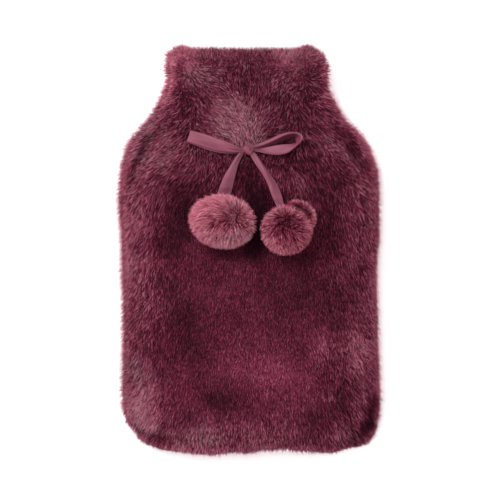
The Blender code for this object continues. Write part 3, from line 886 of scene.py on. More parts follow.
def pile_tree():
    group = bpy.data.node_groups.new("pile", "GeometryNodeTree")
    for name, kind in {"Bed": "NodeSocketGeometry", **PILE_INPUTS}.items():
        group.interface.new_socket(name, in_out="INPUT", socket_type=kind)
    group.interface.new_socket("Pile", in_out="OUTPUT", socket_type="NodeSocketGeometry")
    tree = Tree(group)
    given = tree.add("NodeGroupInput")
    bed = given.out("Bed")
    seed = given.out("Seed")

    def attribute(name, kind="FLOAT"):
        return tree.add("GeometryNodeInputNamedAttribute", {"data_type": kind}, {"Name": name}).out(0)

    def random(low, high, turn, kind="FLOAT"):
        values = {"Min": low, "Max": high, "Seed": seed + turn}
        return tree.add("FunctionNodeRandomValue", {"data_type": kind}, values).out("Value")

    def scattered(method, values):
        settings = {"distribute_method": method}
        values = {"Mesh": bed} | values
        return tree.add("GeometryNodeDistributePointsOnFaces", settings, values).out("Points")

    def of_clump(value, kind):
        """A value of the nearest clump."""
        values = {"Geometry": clumps, "Value": value, "Index": nearest}
        return tree.add("GeometryNodeSampleIndex", {"data_type": kind}, values).out("Value")

    def kept(geometry, name, value, kind="FLOAT", domain="POINT"):
        values = {"Geometry": geometry, "Name": name, "Value": value}
        settings = {"data_type": kind, "domain": domain}
        return tree.add("GeometryNodeStoreNamedAttribute", settings, values).out("Geometry")

    position = tree.add("GeometryNodeInputPosition").out(0)
    growth = attribute("growth", "FLOAT_VECTOR")
    ruffle = attribute("ruffle")

    # where tufts and clumps stand
    points = scattered("RANDOM", {"Density": given.out("Density") * attribute("plenty"), "Seed": seed})
    spacing = given.out("Clump Spacing")
    clumps = scattered("POISSON", {
        "Distance Min": spacing, "Density Max": CLUMPS_TRIED / (spacing * spacing),
        "Seed": seed + 1})
    nearest = tree.add("GeometryNodeSampleNearest", {}, {
        "Geometry": clumps, "Sample Position": position}).out("Index")

    # which way a tuft points
    length = given.out("Length") * attribute("reach")
    own_lean = random(*ANY_WAY, 2, "FLOAT_VECTOR")
    clump_lean = random(*ANY_WAY, 3, "FLOAT_VECTOR")
    spread = given.out("Spread")
    own_way = growth + own_lean * (spread * (CALM_LEAN + (1 - CALM_LEAN) * ruffle))
    clump_way = growth + clump_lean * (spread * CLUMP_LEAN * ruffle)
    clump_tip = of_clump(position, "FLOAT_VECTOR") + of_clump(clump_way, "FLOAT_VECTOR") * length
    tip = tree.mix("VECTOR", given.out("Clump Pull"), position + own_way * length, clump_tip)
    way = tree.add("ShaderNodeVectorMath", {"operation": "NORMALIZE"}, {0: tip - position}).out(0)
    rotation = tree.add("FunctionNodeAxesToRotation", {"primary_axis": "Z", "secondary_axis": "X"}, {
        "Primary Axis": way, "Secondary Axis": random(*ANY_WAY, 4, "FLOAT_VECTOR")}).out(0)

    # its shade
    contrast = given.out("Contrast") * (CALM_CONTRAST + (1 - CALM_CONTRAST) * ruffle)
    clump_shade = of_clump(random(-1, 1, 5), "FLOAT")
    clump_grey_sheen = of_clump(random(0, 1, 6), "FLOAT")
    clump_contrast = contrast * (CLUMP_SHADE + RUFFLED_CLUMP_SHADE * ruffle)
    shade = attribute("shade") + clump_shade * clump_contrast + random(-1, 1, 7) * contrast
    shade = tree.add("ShaderNodeClamp", {}, {"Value": shade, "Min": 0.01, "Max": 0.99}).out(0)
    # The greyer family of tufts is a painted sheen.
    dusty = (clump_grey_sheen * 0.5 + random(0, 1, 8) * 0.5) < attribute("dusty")
    points = kept(points, "tuft_shade", (shade + dusty) * 0.5)

    # a tuft on each point
    width = given.out("Width") * attribute("girth") * random(THIN, THICK, 9)
    size = tree.combined(width, width, length * (1 + random(-1, 1, 10) * attribute("straggle")))
    spike = tree.add("GeometryNodeObjectInfo", {}, {"Object": given.out("Tuft")}).out("Geometry")
    tufts = tree.add("GeometryNodeInstanceOnPoints", {}, {
        "Points": points, "Instance": spike, "Rotation": rotation, "Scale": size}).out(0)
    pile = tree.add("GeometryNodeRealizeInstances", {}, {"Geometry": tufts}).out(0)

    # shade across the map, root to tip up it; nothing below the surface it lies on
    across, up, _ = tree.parted(attribute("tuft_uv", "FLOAT_VECTOR"))
    map_place = tree.combined(attribute("tuft_shade") * (1 - UV_WIDTH) + across * UV_WIDTH, up)
    pile = kept(pile, "OFBake", map_place, "FLOAT2", "CORNER")
    x, y, z = tree.parted(position)
    lifted = tree.combined(x, y, tree.maths("MAXIMUM", z, given.out("Floor")))
    pile = tree.add("GeometryNodeSetPosition", {}, {"Geometry": pile, "Position": lifted}).out(0)
    pile = tree.add("GeometryNodeSetMaterial", {}, {
        "Geometry": pile, "Material": given.out("Material")}).out(0)
    tree.add("NodeGroupOutput", {}, {"Pile": pile})
    return group


PILE_TREE = pile_tree()
print("pile tree:", len(PILE_TREE.nodes), "nodes")

# %% Grow pile on a bed
TABLE_GAP = 0.25 * MM      # no tuft comes closer to the surface that the cover lies on


def grow(name, bed, settings):
    """Run the pile's tree on the bed, and keep the result as a plain mesh."""
    modifier = bed.modifiers.new("pile", "NODES")
    modifier.node_group = PILE_TREE
    settings = {"Tuft": tuft, "Floor": TABLE_GAP} | settings
    for item in PILE_TREE.interface.items_tree:
        if item.in_out == "INPUT" and item.name in settings:
            modifier[item.identifier] = settings[item.name]
    bpy.context.view_layer.update()
    graph = bpy.context.evaluated_depsgraph_get()
    mesh = bpy.data.meshes.new_from_object(bed.evaluated_get(graph))
    mesh.name = name
    for extra in ("growth", "tuft_shade", "tuft_uv", "id", *BED_VALUES):
        if extra in mesh.attributes:
            mesh.attributes.remove(mesh.attributes[extra])
    old_mesh = bed.data
    bpy.data.objects.remove(bed)
    bpy.data.meshes.remove(old_mesh)
    print(name, len(mesh.polygons), "faces")
    return placed(name, mesh)


# %% [markdown]
# ## Colour of the pile
# The dye is a deep berry red. Tips catch the light and look pink; roots sit in each
# other's shade and are painted almost black. The greyer pile is a painted sheen: the
# same dye seen where the fibres turn their sides to the light. The material reads only
# the tuft's own UV map, and a soft sheen stands for the light that grazes fine fibres.

# %% Pile material
BERRY = ((0.0, (36, 5, 18)), (0.25, (80, 17, 40)), (0.5, (126, 43, 69)),
         (0.75, (176, 80, 108)), (1.0, (230, 146, 168)))
# Colours of the greyer pile: a painted sheen.
GREY_SHEEN = ((0.0, (46, 18, 30)), (0.25, (88, 36, 54)), (0.5, (128, 66, 84)),
        (0.75, (170, 102, 120)), (1.0, (216, 160, 172)))
SHEEN = {"Sheen Roughness": 0.45, "Sheen Tint": linear((235, 170, 190))}
# Painted shade at the roots, which sit in each other's shade.
ROOT_SHADE_TINT = (0.40, 0.24, 0.30, 1)        # roots keep this share of the tip's red, green and blue
NO_TINT = (1, 1, 1, 1)
ROOT_END, TIP_START = 0.25, 0.8          # shares of a tuft's length


def principled(name, settings):
    """A material with these values on its shader, its tree, and the shader itself."""
    material = bpy.data.materials.new(name)
    material.use_nodes = True
    tree = Tree(material.node_tree)
    shader = material.node_tree.nodes["Principled BSDF"]
    for key, value in settings.items():
        tree.feed(shader.inputs[key], value)
    return material, tree, shader


def pile_material(name, berry, grey_sheen_ramp, sheen, root_shade_tint=ROOT_SHADE_TINT):
    material, tree, shader = principled(name, SHEEN | {
        "Roughness": 0.75, "Specular IOR Level": 0.06, "Sheen Weight": sheen})
    across, up, _ = tree.parted(tree.add("ShaderNodeUVMap", {"uv_map": "OFBake"}).out("UV"))
    family = across > 0.5
    shade = across * 2 - family
    colour = tree.mix("RGBA", family, tree.ramp(berry, shade), tree.ramp(grey_sheen_ramp, shade))
    painted_root_shade = tree.mix("RGBA", tree.eased(up, ROOT_END, TIP_START), root_shade_tint, NO_TINT)
    tree.feed(shader.inputs["Base Color"], colour * painted_root_shade)
    return material


FUR = pile_material("berry_fur", BERRY, GREY_SHEEN, 0.05)
print("material:", FUR.name)

# %% [markdown]
# Plush like this has a dense pile a few millimetres long. The front is grown as four
# pieces, foot to neck, because one piece of all its tufts would be too large to share.

# %% Front pile
FRONT_PILE = {"Material": FUR, "Density": 2.04e6, "Length": 7.2 * MM, "Width": 0.53 * MM,
              "Clump Spacing": 1.8 * MM, "Clump Pull": 0.30, "Spread": 0.34, "Contrast": 0.57}
front_pile_pieces = [
    grow(f"front_pile_{part}", front_beds[part], FRONT_PILE | {"Seed": seed})
    for part, seed in zip(FRONT_PARTS, (11, 12, 13, 14))]

# %% [markdown]
# ## Fringe
# Round the outline a few fine, long fibres stand past the pile. They are what makes
# the edge of plush look soft and pale against a light ground, so they get a strip of
# their own, only where the rim is near, pointing outwards, and painted light makes them
# paler than the pile. On the side of the lamp they are wider and painted darker, since
# fine pale ones would be lost against the floor.

# %% Fringe round the outline
LAMP_WAY = Vector((-0.7, 0.7, 0))
# The fringe is painted paler than the pile, and painted darker on the side that faces the lamp.
FRINGE_LIGHT, LAMP_SHADE, LAMP_GIRTH = 0.2, 0.18, 1.3
FRINGE_START, FRINGE_FULL = 0.4, 0.7     # nearness to the rim where the fringe grows
FRINGE_STAND, FRINGE_RISE, FRINGE_OUT = 0.5, 0.12, 1.2


def fringe_pile(point, normal):
    x, y = point.x / MM, point.y / MM
    mouth = mouth_nearness(y)
    near = max(rim_nearness(x, y), mouth)
    lit = max(normal.dot(LAMP_WAY), 0)
    found = front_look(point, normal) | {
        "reach": 1.0, "girth": 1 + LAMP_GIRTH * lit, "straggle": 0.55, "ruffle": 0.6,
        "plenty": smooth_step(FRINGE_START, FRINGE_FULL, near)}
    found["shade"] += FRINGE_LIGHT - LAMP_SHADE * lit
    outward = Vector((normal.x, normal.y + mouth, FRINGE_RISE))
    return grown(normal, nap(x, y), FRINGE_STAND) + outward * FRINGE_OUT, found


fringe_bed = bed_mesh("bed_fringe", skin(front_point, row_places(), FRONT_INSET), fringe_pile)
fringe_piece = grow("front_fringe", fringe_bed, FRONT_PILE | {
    "Density": 2.7e6, "Length": 7.0 * MM, "Width": 0.20 * MM, "Clump Pull": 0.1, "Seed": 16})
front_pile_pieces.append(fringe_piece)

# %% [markdown]
# ## Back pile
# The back panel carries the weight, so its pile is pressed flat underneath and only
# stands up where the panel rolls up to the side seam. Underneath, fewer and wider
# tufts are enough.

# %% Back pile
BACK_INSET = 2.6
UNDERSIDE_PLENTY = 0.12
LOOSE_NORMAL, PRESSED_NORMAL = 0.6, 0.97            # how far the cloth faces down
PRESSED_STAND = 0.12
BACK_FOOT = (-150, -168)   # mm over which the pile gets shorter towards the bottom seam
BACK_FINE, BACK_GREY_SHEEN = 0.12, 0.1


def back_look(point, normal):
    """Shade of the back pile, with painted light on its steep sides, and how grey its painted sheen is.
    """
    steep = 1 - abs(normal.z)
    broad = mottled(point, BROAD)
    return {"shade": (BACK_SHADE + RIM_LIGHT * steep
                      + BROAD_SHADE * broad + BACK_FINE * mottled(point, FINE)),
            "dusty": BACK_GREY_SHEEN + BROAD_GREY_SHEEN * broad}


def back_pile(point, normal):
    pressed = smooth_step(LOOSE_NORMAL, PRESSED_NORMAL, -normal.z)
    stand = SIDE_STAND - pressed * (SIDE_STAND - PRESSED_STAND)
    foot = smooth_step(*BACK_FOOT, point.y / MM) * (1 - pressed)
    found = back_look(point, normal) | {
        "reach": 0.62 + 0.38 * pressed - 0.16 * foot,
        "girth": 0.8 + 0.2 * pressed,
        "straggle": 0.6 - 0.4 * pressed,
        "ruffle": 0.35,
        "plenty": 1 - pressed * (1 - UNDERSIDE_PLENTY),
    }
    return grown(normal, nap(point.x / MM, point.y / MM), stand), found


def flipped(grid):
    """The same rows the other way round, so that the faces point down."""
    return [row[::-1] for row in grid]


back_bed = bed_mesh("bed_back", flipped(skin(back_point, row_places(), BACK_INSET)), back_pile)
back_pile_piece = grow("back_pile", back_bed, FRONT_PILE | {
    "Density": 1.0e6, "Width": 0.95 * MM, "Seed": 15})

# %% [markdown]
# ## Pile cloth
# Faux fur is a thin knitted backing with pile so dense that its lower half is a solid
# mass. One closed shell per panel stands for both: its outer side is the top of that
# mass, a little over the tufts' roots, and its inner side is the bare knit, which
# shows only through the mouth.

# %% Shells of pile cloth
CLOTH_THICK = 3.4
MASS_COVER = 1.0           # mm from the tufts' roots up to the top of the mass


def shell(name, point_at, inset, look):
    """Closed cloth between two skins, its outer one inset mm inside the CAD surface."""
    shape = bmesh.new()
    outer, inner = (vertex_rows(shape, skin(point_at, row_places(), depth))
                    for depth in (inset, inset + CLOTH_THICK))
    close_sheet(shape, outer, inner)
    mesh = mesh_of(shape, name)
    mesh.shade_smooth()
    looks = [look(vertex.co, vertex.normal) for vertex in mesh.vertices]
    for value in ("shade", "dusty"):
        store(mesh, value, [found[value] for found in looks])
    mesh.materials.append(MASS)
    mesh.materials.append(KNIT)
    outside = (len(outer) - 1) * (len(outer[0]) - 1)
    mesh.polygons.foreach_set("material_index", [int(k >= outside) for k in range(len(mesh.polygons))])
    return placed(name, mesh)


# %% [markdown]
# The mass has the tufts' colours, with their painted light and shade, and is painted
# darker still for the shade of the tufts over it. The colours are drawn out along the
# nap and made uneven by two sizes of noise. The knit is a pattern of small closed loops,
# as on the back of a jersey, in two tones of the same dye.

# %% Materials of the cloth
DRAWN_OUT = (1, 0.3, 1)
FIBRE_SCALE, CLUMP_SCALE, LOOP_SCALE, PATCH_SCALE = 1100, 260, 700, 30     # per metre
MASS_PAINTED_SHADE = 0.22         # the mass lies in the tufts' shade
FIBRE_CONTRAST, CLUMP_CONTRAST = 0.9, 0.4
KNIT_DARK, KNIT_PALE = (96, 38, 58), (146, 74, 96)


def mass_material():
    """The solid lower half of the pile, in the same dye as the tufts, with painted shade."""
    material, tree, shader = principled("berry_pile_mass", SHEEN | {
        "Roughness": 0.85, "Specular IOR Level": 0.1, "Sheen Weight": 0.06})
    where = tree.add("ShaderNodeTexCoord").out("Object")
    fibres = tree.cloudy(where * DRAWN_OUT, FIBRE_SCALE, 3)
    clumps = tree.cloudy(where, CLUMP_SCALE, 1)
    shade, dusty = (tree.add("ShaderNodeAttribute", {"attribute_name": name}).out("Fac")
                    for name in ("shade", "dusty"))
    shade = shade - MASS_PAINTED_SHADE + (fibres - 0.5) * FIBRE_CONTRAST + (clumps - 0.5) * CLUMP_CONTRAST
    colour = tree.mix("RGBA", dusty, tree.ramp(BERRY, shade), tree.ramp(GREY_SHEEN, shade))
    tree.feed(shader.inputs["Base Color"], colour)
    tree.feed(shader.inputs["Normal"], tree.bump(fibres, 0.6, 0.6 * MM))
    return material


def knit_material():
    """Fine knitted loops, a little darker than the pile."""
    material, tree, shader = principled("backing_knit", {
        "Roughness": 0.9, "Specular IOR Level": 0.2, "Sheen Weight": 0.2})
    where = tree.add("ShaderNodeTexCoord").out("Object")
    loops = tree.add("ShaderNodeTexVoronoi", {"feature": "DISTANCE_TO_EDGE"}, {
        "Vector": where, "Scale": LOOP_SCALE}).out("Distance")
    pale = tree.cloudy(where, PATCH_SCALE) * 0.6 + loops * 0.8
    tree.feed(shader.inputs["Base Color"], tree.mix("RGBA", pale, linear(KNIT_DARK), linear(KNIT_PALE)))
    tree.feed(shader.inputs["Normal"], tree.bump(loops, 0.5, 0.4 * MM))
    return material


KNIT = knit_material()
MASS = mass_material()
front_cloth = shell("front_cloth", front_point, FRONT_INSET - MASS_COVER, front_look)
back_cloth = shell("back_cloth", back_point, BACK_INSET - MASS_COVER, back_look)
for cloth in (front_cloth, back_cloth):
    print(cloth.name, "area m2:", round(sum(p.area for p in cloth.data.polygons) / 2, 4))

# %% [markdown]
# ## The mouth
# At the mouth the cloth is turned in, so the pile rolls over the edge and goes on a
# little way inside. A strip of bed runs round the mouth: over the edge, then down
# the inside of each panel.

# %% Pile round the mouth
LIP_STEPS, INNER_STEPS = 8, 4            # rows over the edge, and inside
LIP_DEPTH = 1.4            # sections that the lip reaches inwards
LIP_CELLS = 48
# LIP_SHADE is painted light on the lip, which lies in shade at the mouth's edge.
LIP_SHADE, LIP_FINE = 0.2, 0.12
LIP_FAN, LIP_HALF = 0.35, 60             # the pile fans out this much, this many mm off the middle
LIP_STAND = 0.45
LIP_PILE = {"Density": 1.9e6, "Width": 0.42 * MM, "Clump Pull": 0.12}


def lip_row(point_at, inset, thick, places):
    """Rows of one panel's lip, from its outer edge over the rim to the inside."""
    rows = []
    for u in places:
        outer = point_at(MOUTH, u, inset)
        inner = point_at(MOUTH, u, inset + thick)
        deep = point_at(MOUTH - LIP_DEPTH, u, inset + thick)
        middle, half = (outer + inner) / 2, (outer - inner) / 2
        forward = Vector((0, 1, 0)) * half.length
        row = [middle + half * math.cos(a) + forward * math.sin(a)
               for a in (math.pi * k / LIP_STEPS for k in range(LIP_STEPS + 1))]
        row += [inner.lerp(deep, k / INNER_STEPS) for k in range(1, INNER_STEPS + 1)]
        rows.append(row)
    return rows


def lip_pile(point, normal):
    x, y = point.x / MM, point.y / MM
    lighter, dusty = brushed(x, y)
    found = {
        "shade": FRONT_SHADE + LIP_SHADE + lighter * 0.7 + LIP_FINE * mottled(point, FINE),
        "dusty": 0.1 + dusty * 0.5,
        "reach": 0.85,
        "girth": 1.0,
        "straggle": 0.35,
        "ruffle": 0.6,
        "plenty": 1.0,
    }
    outward = Vector((LIP_FAN * x / LIP_HALF, 1, 0))
    return grown(normal, outward, LIP_STAND), found


lip_pieces = []
for name, point_at, inset, places, seed in (
        ("front_lip", front_point, FRONT_INSET, across_places(LIP_CELLS), 21),
        ("back_lip", back_point, BACK_INSET, across_places(LIP_CELLS)[::-1], 22)):
    lip_bed = bed_mesh("bed_" + name, lip_row(point_at, inset, CLOTH_THICK, places), lip_pile)
    lip_pieces.append(grow(name, lip_bed, FRONT_PILE | LIP_PILE | {"Seed": seed}))

# %% [markdown]
# ## Where things lie on the pile
# The ribbon and the pompoms rest on the front pile. A ray from far above finds the
# height of the CAD panel under any point.

# %% Height of the pile
KNOT_PLACE = (-0.9, 83.8)


def height_finder(node):
    """A function that gives the height of one CAD solid under a point."""
    shape = bmesh.new()
    shape.from_mesh(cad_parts[node].data)
    tree = BVHTree.FromBMesh(shape)
    shape.free()

    def height(x, y):
        """Height in mm under the point (x, y) in mm."""
        hit = tree.ray_cast(Vector((x * MM, y * MM, 1)), Vector((0, 0, -1)))[0]
        return hit.z / MM
    return height


pile_height = height_finder("front_panel")
print("pile height at the knot in mm:", round(pile_height(*KNOT_PLACE), 1))

# %% [markdown]
# ## Pompoms
# A pompom is a ball of cut pile tied round its middle, so the fibres fan out from
# one parting point. Each has a soft core and a coat of spikes: the core's bed is
# shrunk towards a centre a little off the ball's own, and the spikes run from there
# to the ball's surface.

# %% Pompom sizes, in mm
BALL_COLUMNS = ("x", "y", "long", "wide", "tall", "turn", "parting_x", "parting_y")
POMPOMS = {
    "pompom_left": (
        (-21.3, 23.5, 57.6, 46.6, 39.0, -8.0, -10.4, 27.7),
    ),
    "pompom_right": (
        (32.0, 16.4, 44.6, 43.0, 38.0, 0.0, 31.0, 24.5),
        (41.6, 26.2, 32.0, 32.4, 29.0, 0.0, 47.0, 30.0),
    ),
}
POMPOM_GAP = 0.5           # mm over the pile
BALL_SUNK = 0.06           # share of its height by which the underside is flattened
CORE_SHARE = 0.68
POLE_SHARE = 0.02          # of the half turn from foot to top, left out at each end


def ball_middle(ball):
    """Height of a ball's middle, in mm."""
    return pile_height(ball["x"], ball["y"]) + POMPOM_GAP + (0.5 - BALL_SUNK) * ball["tall"]


def ball_grid(ball, share, segments=48, rings=32):
    """Rows of points on a ball shrunk to a share of its size, from its foot up."""
    middle = ball_middle(ball)
    rows = []
    for r in range(rings + 1):
        polar = math.pi * (POLE_SHARE + (1 - 2 * POLE_SHARE) * r / rings)
        row = []
        for s in range(segments):
            a = 2 * math.pi * s / segments
            x = math.sin(polar) * math.cos(a) * ball["long"] / 2 * share
            y = math.sin(polar) * math.sin(a) * ball["wide"] / 2 * share
            z = -math.cos(polar) * ball["tall"] / 2 * share
            x, y = rotated(x, y, math.radians(ball["turn"]), (ball["x"], ball["y"]))
            row.append(Vector((x, y, middle + z)) * MM)
        rows.append(row)
    return rows


for name, rows in POMPOMS.items():
    middles = [round(ball_middle(ball), 1) for ball in named_rows(BALL_COLUMNS, rows)]
    print(name, "middles at mm:", middles)

# %% [markdown]
# Painted light and shade on each pompom: soft marks along lines, as on the cover, one
# group for each ball. They are read where a fibre's tip ends, so a tuft is light or
# dark as a whole.

# %% Shades of the pompoms
POMPOM_MARKS = {
    "pompom_left": ((
        (-42, 32, -30, 40, 12, 0.12, -0.2),
        (-30, 21, -24, 20, 6, -0.20, -0.3),
        (-5, 21, -2, 18, 5, -0.22, -0.3),
        (-11, 28, -9, 24, 5, 0.30, 0.0),
        (-24, 4, 0, 10, 9, 0.02, 0.4),
        (-18, 36, -8, 38, 8, 0.06, 0.4),
    ),),
    "pompom_right": ((
        (28, 15, 37, 17, 14, -0.22, -0.9),
        (13, 8, 28, -3, 4.5, 0.24, 0.3),
        (24, 33, 38, 36, 3, 0.26, 0.4),
        (38, 36, 49, 29, 3, 0.20, 0.3),
        (49, 29, 52, 18, 2.5, 0.22, 0.3),
        (14, 26, 18, 31, 4, 0.12, 0.5),
        (20, 30, 22, 27, 2, -0.20, 0.0),
    ), (
        (26, 38, 41, 38, 2.2, -0.26, 0.0),
        (41, 38, 51, 31, 2.2, -0.26, 0.0),
        (51, 31, 54, 18, 2.2, -0.22, 0.0),
        (32, 44, 46, 43, 2, 0.10, 0.3),
        (46, 43, 58, 28, 2, 0.10, 0.3),
    )),
}
POMPOM_SHADE = {"pompom_left": 0.77, "pompom_right": 0.63}
POMPOM_GREY_SHEEN_SHARE = {"pompom_left": 0.25, "pompom_right": 0.12}
WHORL = 0.30               # the fibres turn a little round the parting
POMPOM_LOCK, POMPOM_LOCK_TURN = 4.5, 0.55    # mm across a lock, and how far it strays
# Painted light: fibres that point sideways are drawn paler.
POMPOM_SIDE_LIGHT = 0.10
PLUSH_LENGTH = 10          # mm; a fibre's reach is given as a share of it


def way_out(run, start, halves):
    """How far it is from a start inside a ball along a run to the ball's surface."""
    a = sum((r / h) ** 2 for r, h in zip(run, halves))
    b = sum(r * p / h ** 2 for r, p, h in zip(run, start, halves))
    c = sum((p / h) ** 2 for p, h in zip(start, halves)) - 1
    return (-b + math.sqrt(max(b * b - a * c, 0))) / a


def pompom_pile(name, number, ball):
    """A describe function for the fibres of one ball."""
    marks = named_rows(MARK_COLUMNS, POMPOM_MARKS[name][number])
    turn = math.radians(ball["turn"])
    middle = Vector((ball["x"], ball["y"], ball_middle(ball)))
    halves = [ball[size] / 2 for size in ("long", "wide", "tall")]
    parting = Vector((ball["parting_x"] - ball["x"], ball["parting_y"] - ball["y"], 0))

    def turned_back(vector):
        """A vector as the ball's own axes see it."""
        return Vector((*rotated(vector.x, vector.y, -turn), vector.z))

    def describe(point, normal):
        offset = point / MM - middle
        way = (offset - parting).normalized()
        way += Vector((-way.y, way.x, 0)) * WHORL
        way += noise.noise_vector(offset / POMPOM_LOCK) * POMPOM_LOCK_TURN
        way.normalize()
        reach = way_out(turned_back(way), turned_back(offset), halves)
        tip = offset + way * reach + Vector((ball["x"], ball["y"], 0))
        lighter = sum(m["lighter"] * nearness(tip.x, tip.y, m) for m in marks)
        dusty = sum(m["dusty"] * nearness(tip.x, tip.y, m) for m in marks)
        side = 1 - max(way.z, 0)
        found = {
            "shade": POMPOM_SHADE[name] + lighter + POMPOM_SIDE_LIGHT * (side - 0.5),
            "dusty": POMPOM_GREY_SHEEN_SHARE[name] + dusty,
            "reach": reach / PLUSH_LENGTH,
            "girth": 1.0,
            "straggle": 0.15,
            "ruffle": 0.5,
            "plenty": 1.0,
        }
        return way, found
    return describe


# %% [markdown]
# A pompom's wool is the cover's dye in a lighter tone, longer and softer. The right
# pompom is squeezed into two lobes, so it is two balls whose coats are joined.

# %% Grow the pompoms
POMPOM_BERRY = ((0.0, (58, 10, 28)), (0.25, (106, 22, 48)), (0.5, (152, 50, 78)),
                (0.75, (196, 94, 120)), (1.0, (232, 156, 174)))
POMPOM_GREY_SHEEN = ((0.0, (60, 20, 34)), (0.25, (106, 48, 64)), (0.5, (152, 80, 100)),
               (0.75, (196, 124, 142)), (1.0, (228, 174, 186)))
# Painted shade at the roots of the pompoms' fibres.
POMPOM_ROOT_SHADE_TINT = (0.62, 0.40, 0.48, 1)
PLUSH = pile_material("pompom_plush", POMPOM_BERRY, POMPOM_GREY_SHEEN, 0.08, POMPOM_ROOT_SHADE_TINT)
PLUSH_PILE = {"Material": PLUSH, "Length": PLUSH_LENGTH * MM, "Width": 0.52 * MM, "Density": 5.0e6,
              "Clump Spacing": 1.6 * MM, "Clump Pull": 0.42, "Spread": 0.26, "Contrast": 0.62}


def joined(name, pieces):
    """One object with the meshes of several."""
    shape = bmesh.new()
    for piece in pieces:
        shape.from_mesh(piece.data)
    mesh = pieces[0].data
    shape.to_mesh(mesh)
    shape.free()
    for piece in pieces[1:]:
        bpy.data.objects.remove(piece)
    pieces[0].name = name
    return pieces[0]


pompom_coats = {}
for number, (name, rows) in enumerate(POMPOMS.items()):
    coats = []
    for k, ball in enumerate(named_rows(BALL_COLUMNS, rows)):
        describe = pompom_pile(name, k, ball)
        bed = bed_mesh(f"bed_{name}_{k}", ball_grid(ball, CORE_SHARE), describe, closed=True)
        coats.append(grow(f"{name}_coat_{k}", bed, PLUSH_PILE | {"Seed": 31 + 4 * number + k}))
    pompom_coats[name] = joined(name + "_coat", coats)


# %% [markdown]
# The middle of a real pompom is so dense that no light gets out of it. A closed core,
# painted dark as shade, stands for that, just over the roots, so no gap shows between the spikes.

# %% Pompom cores
CORE_SEGMENTS, CORE_RINGS = 32, 20
CORE_COVER = 1.02          # the core hides the roots of the spikes
CORE_SHADE_DARK, CORE_SHADE_PALE = (84, 20, 40), (132, 46, 70)


def ball_core(name, balls):
    """Closed balls under the coat, painted dark as shade, like the roots."""
    shape = bmesh.new()
    for ball in balls:
        rows = vertex_rows(shape, ball_grid(ball, CORE_SHARE * CORE_COVER, CORE_SEGMENTS, CORE_RINGS))
        join_rows(shape, rows, closed=True)
        shape.faces.new(rows[0][::-1])
        shape.faces.new(rows[-1])
    bmesh.ops.recalc_face_normals(shape, faces=shape.faces)
    mesh = mesh_of(shape, name)
    mesh.shade_smooth()
    mesh.materials.append(CORE)
    return placed(name, mesh)


def core_material():
    """The dye with painted shade, as deep among the fibres, a little uneven."""
    material, tree, shader = principled("pompom_core", {"Roughness": 0.95, "Specular IOR Level": 0.1})
    clumps = tree.cloudy(tree.add("ShaderNodeTexCoord").out("Object"), CLUMP_SCALE)
    tree.feed(shader.inputs["Base Color"], tree.mix("RGBA", clumps, linear(CORE_SHADE_DARK), linear(CORE_SHADE_PALE)))
    return material


CORE = core_material()
pompom_cores = {}
for name, rows in POMPOMS.items():
    pompom_cores[name] = ball_core(name + "_core", named_rows(BALL_COLUMNS, rows))
    print(name, "core:", len(pompom_cores[name].data.polygons), "faces")
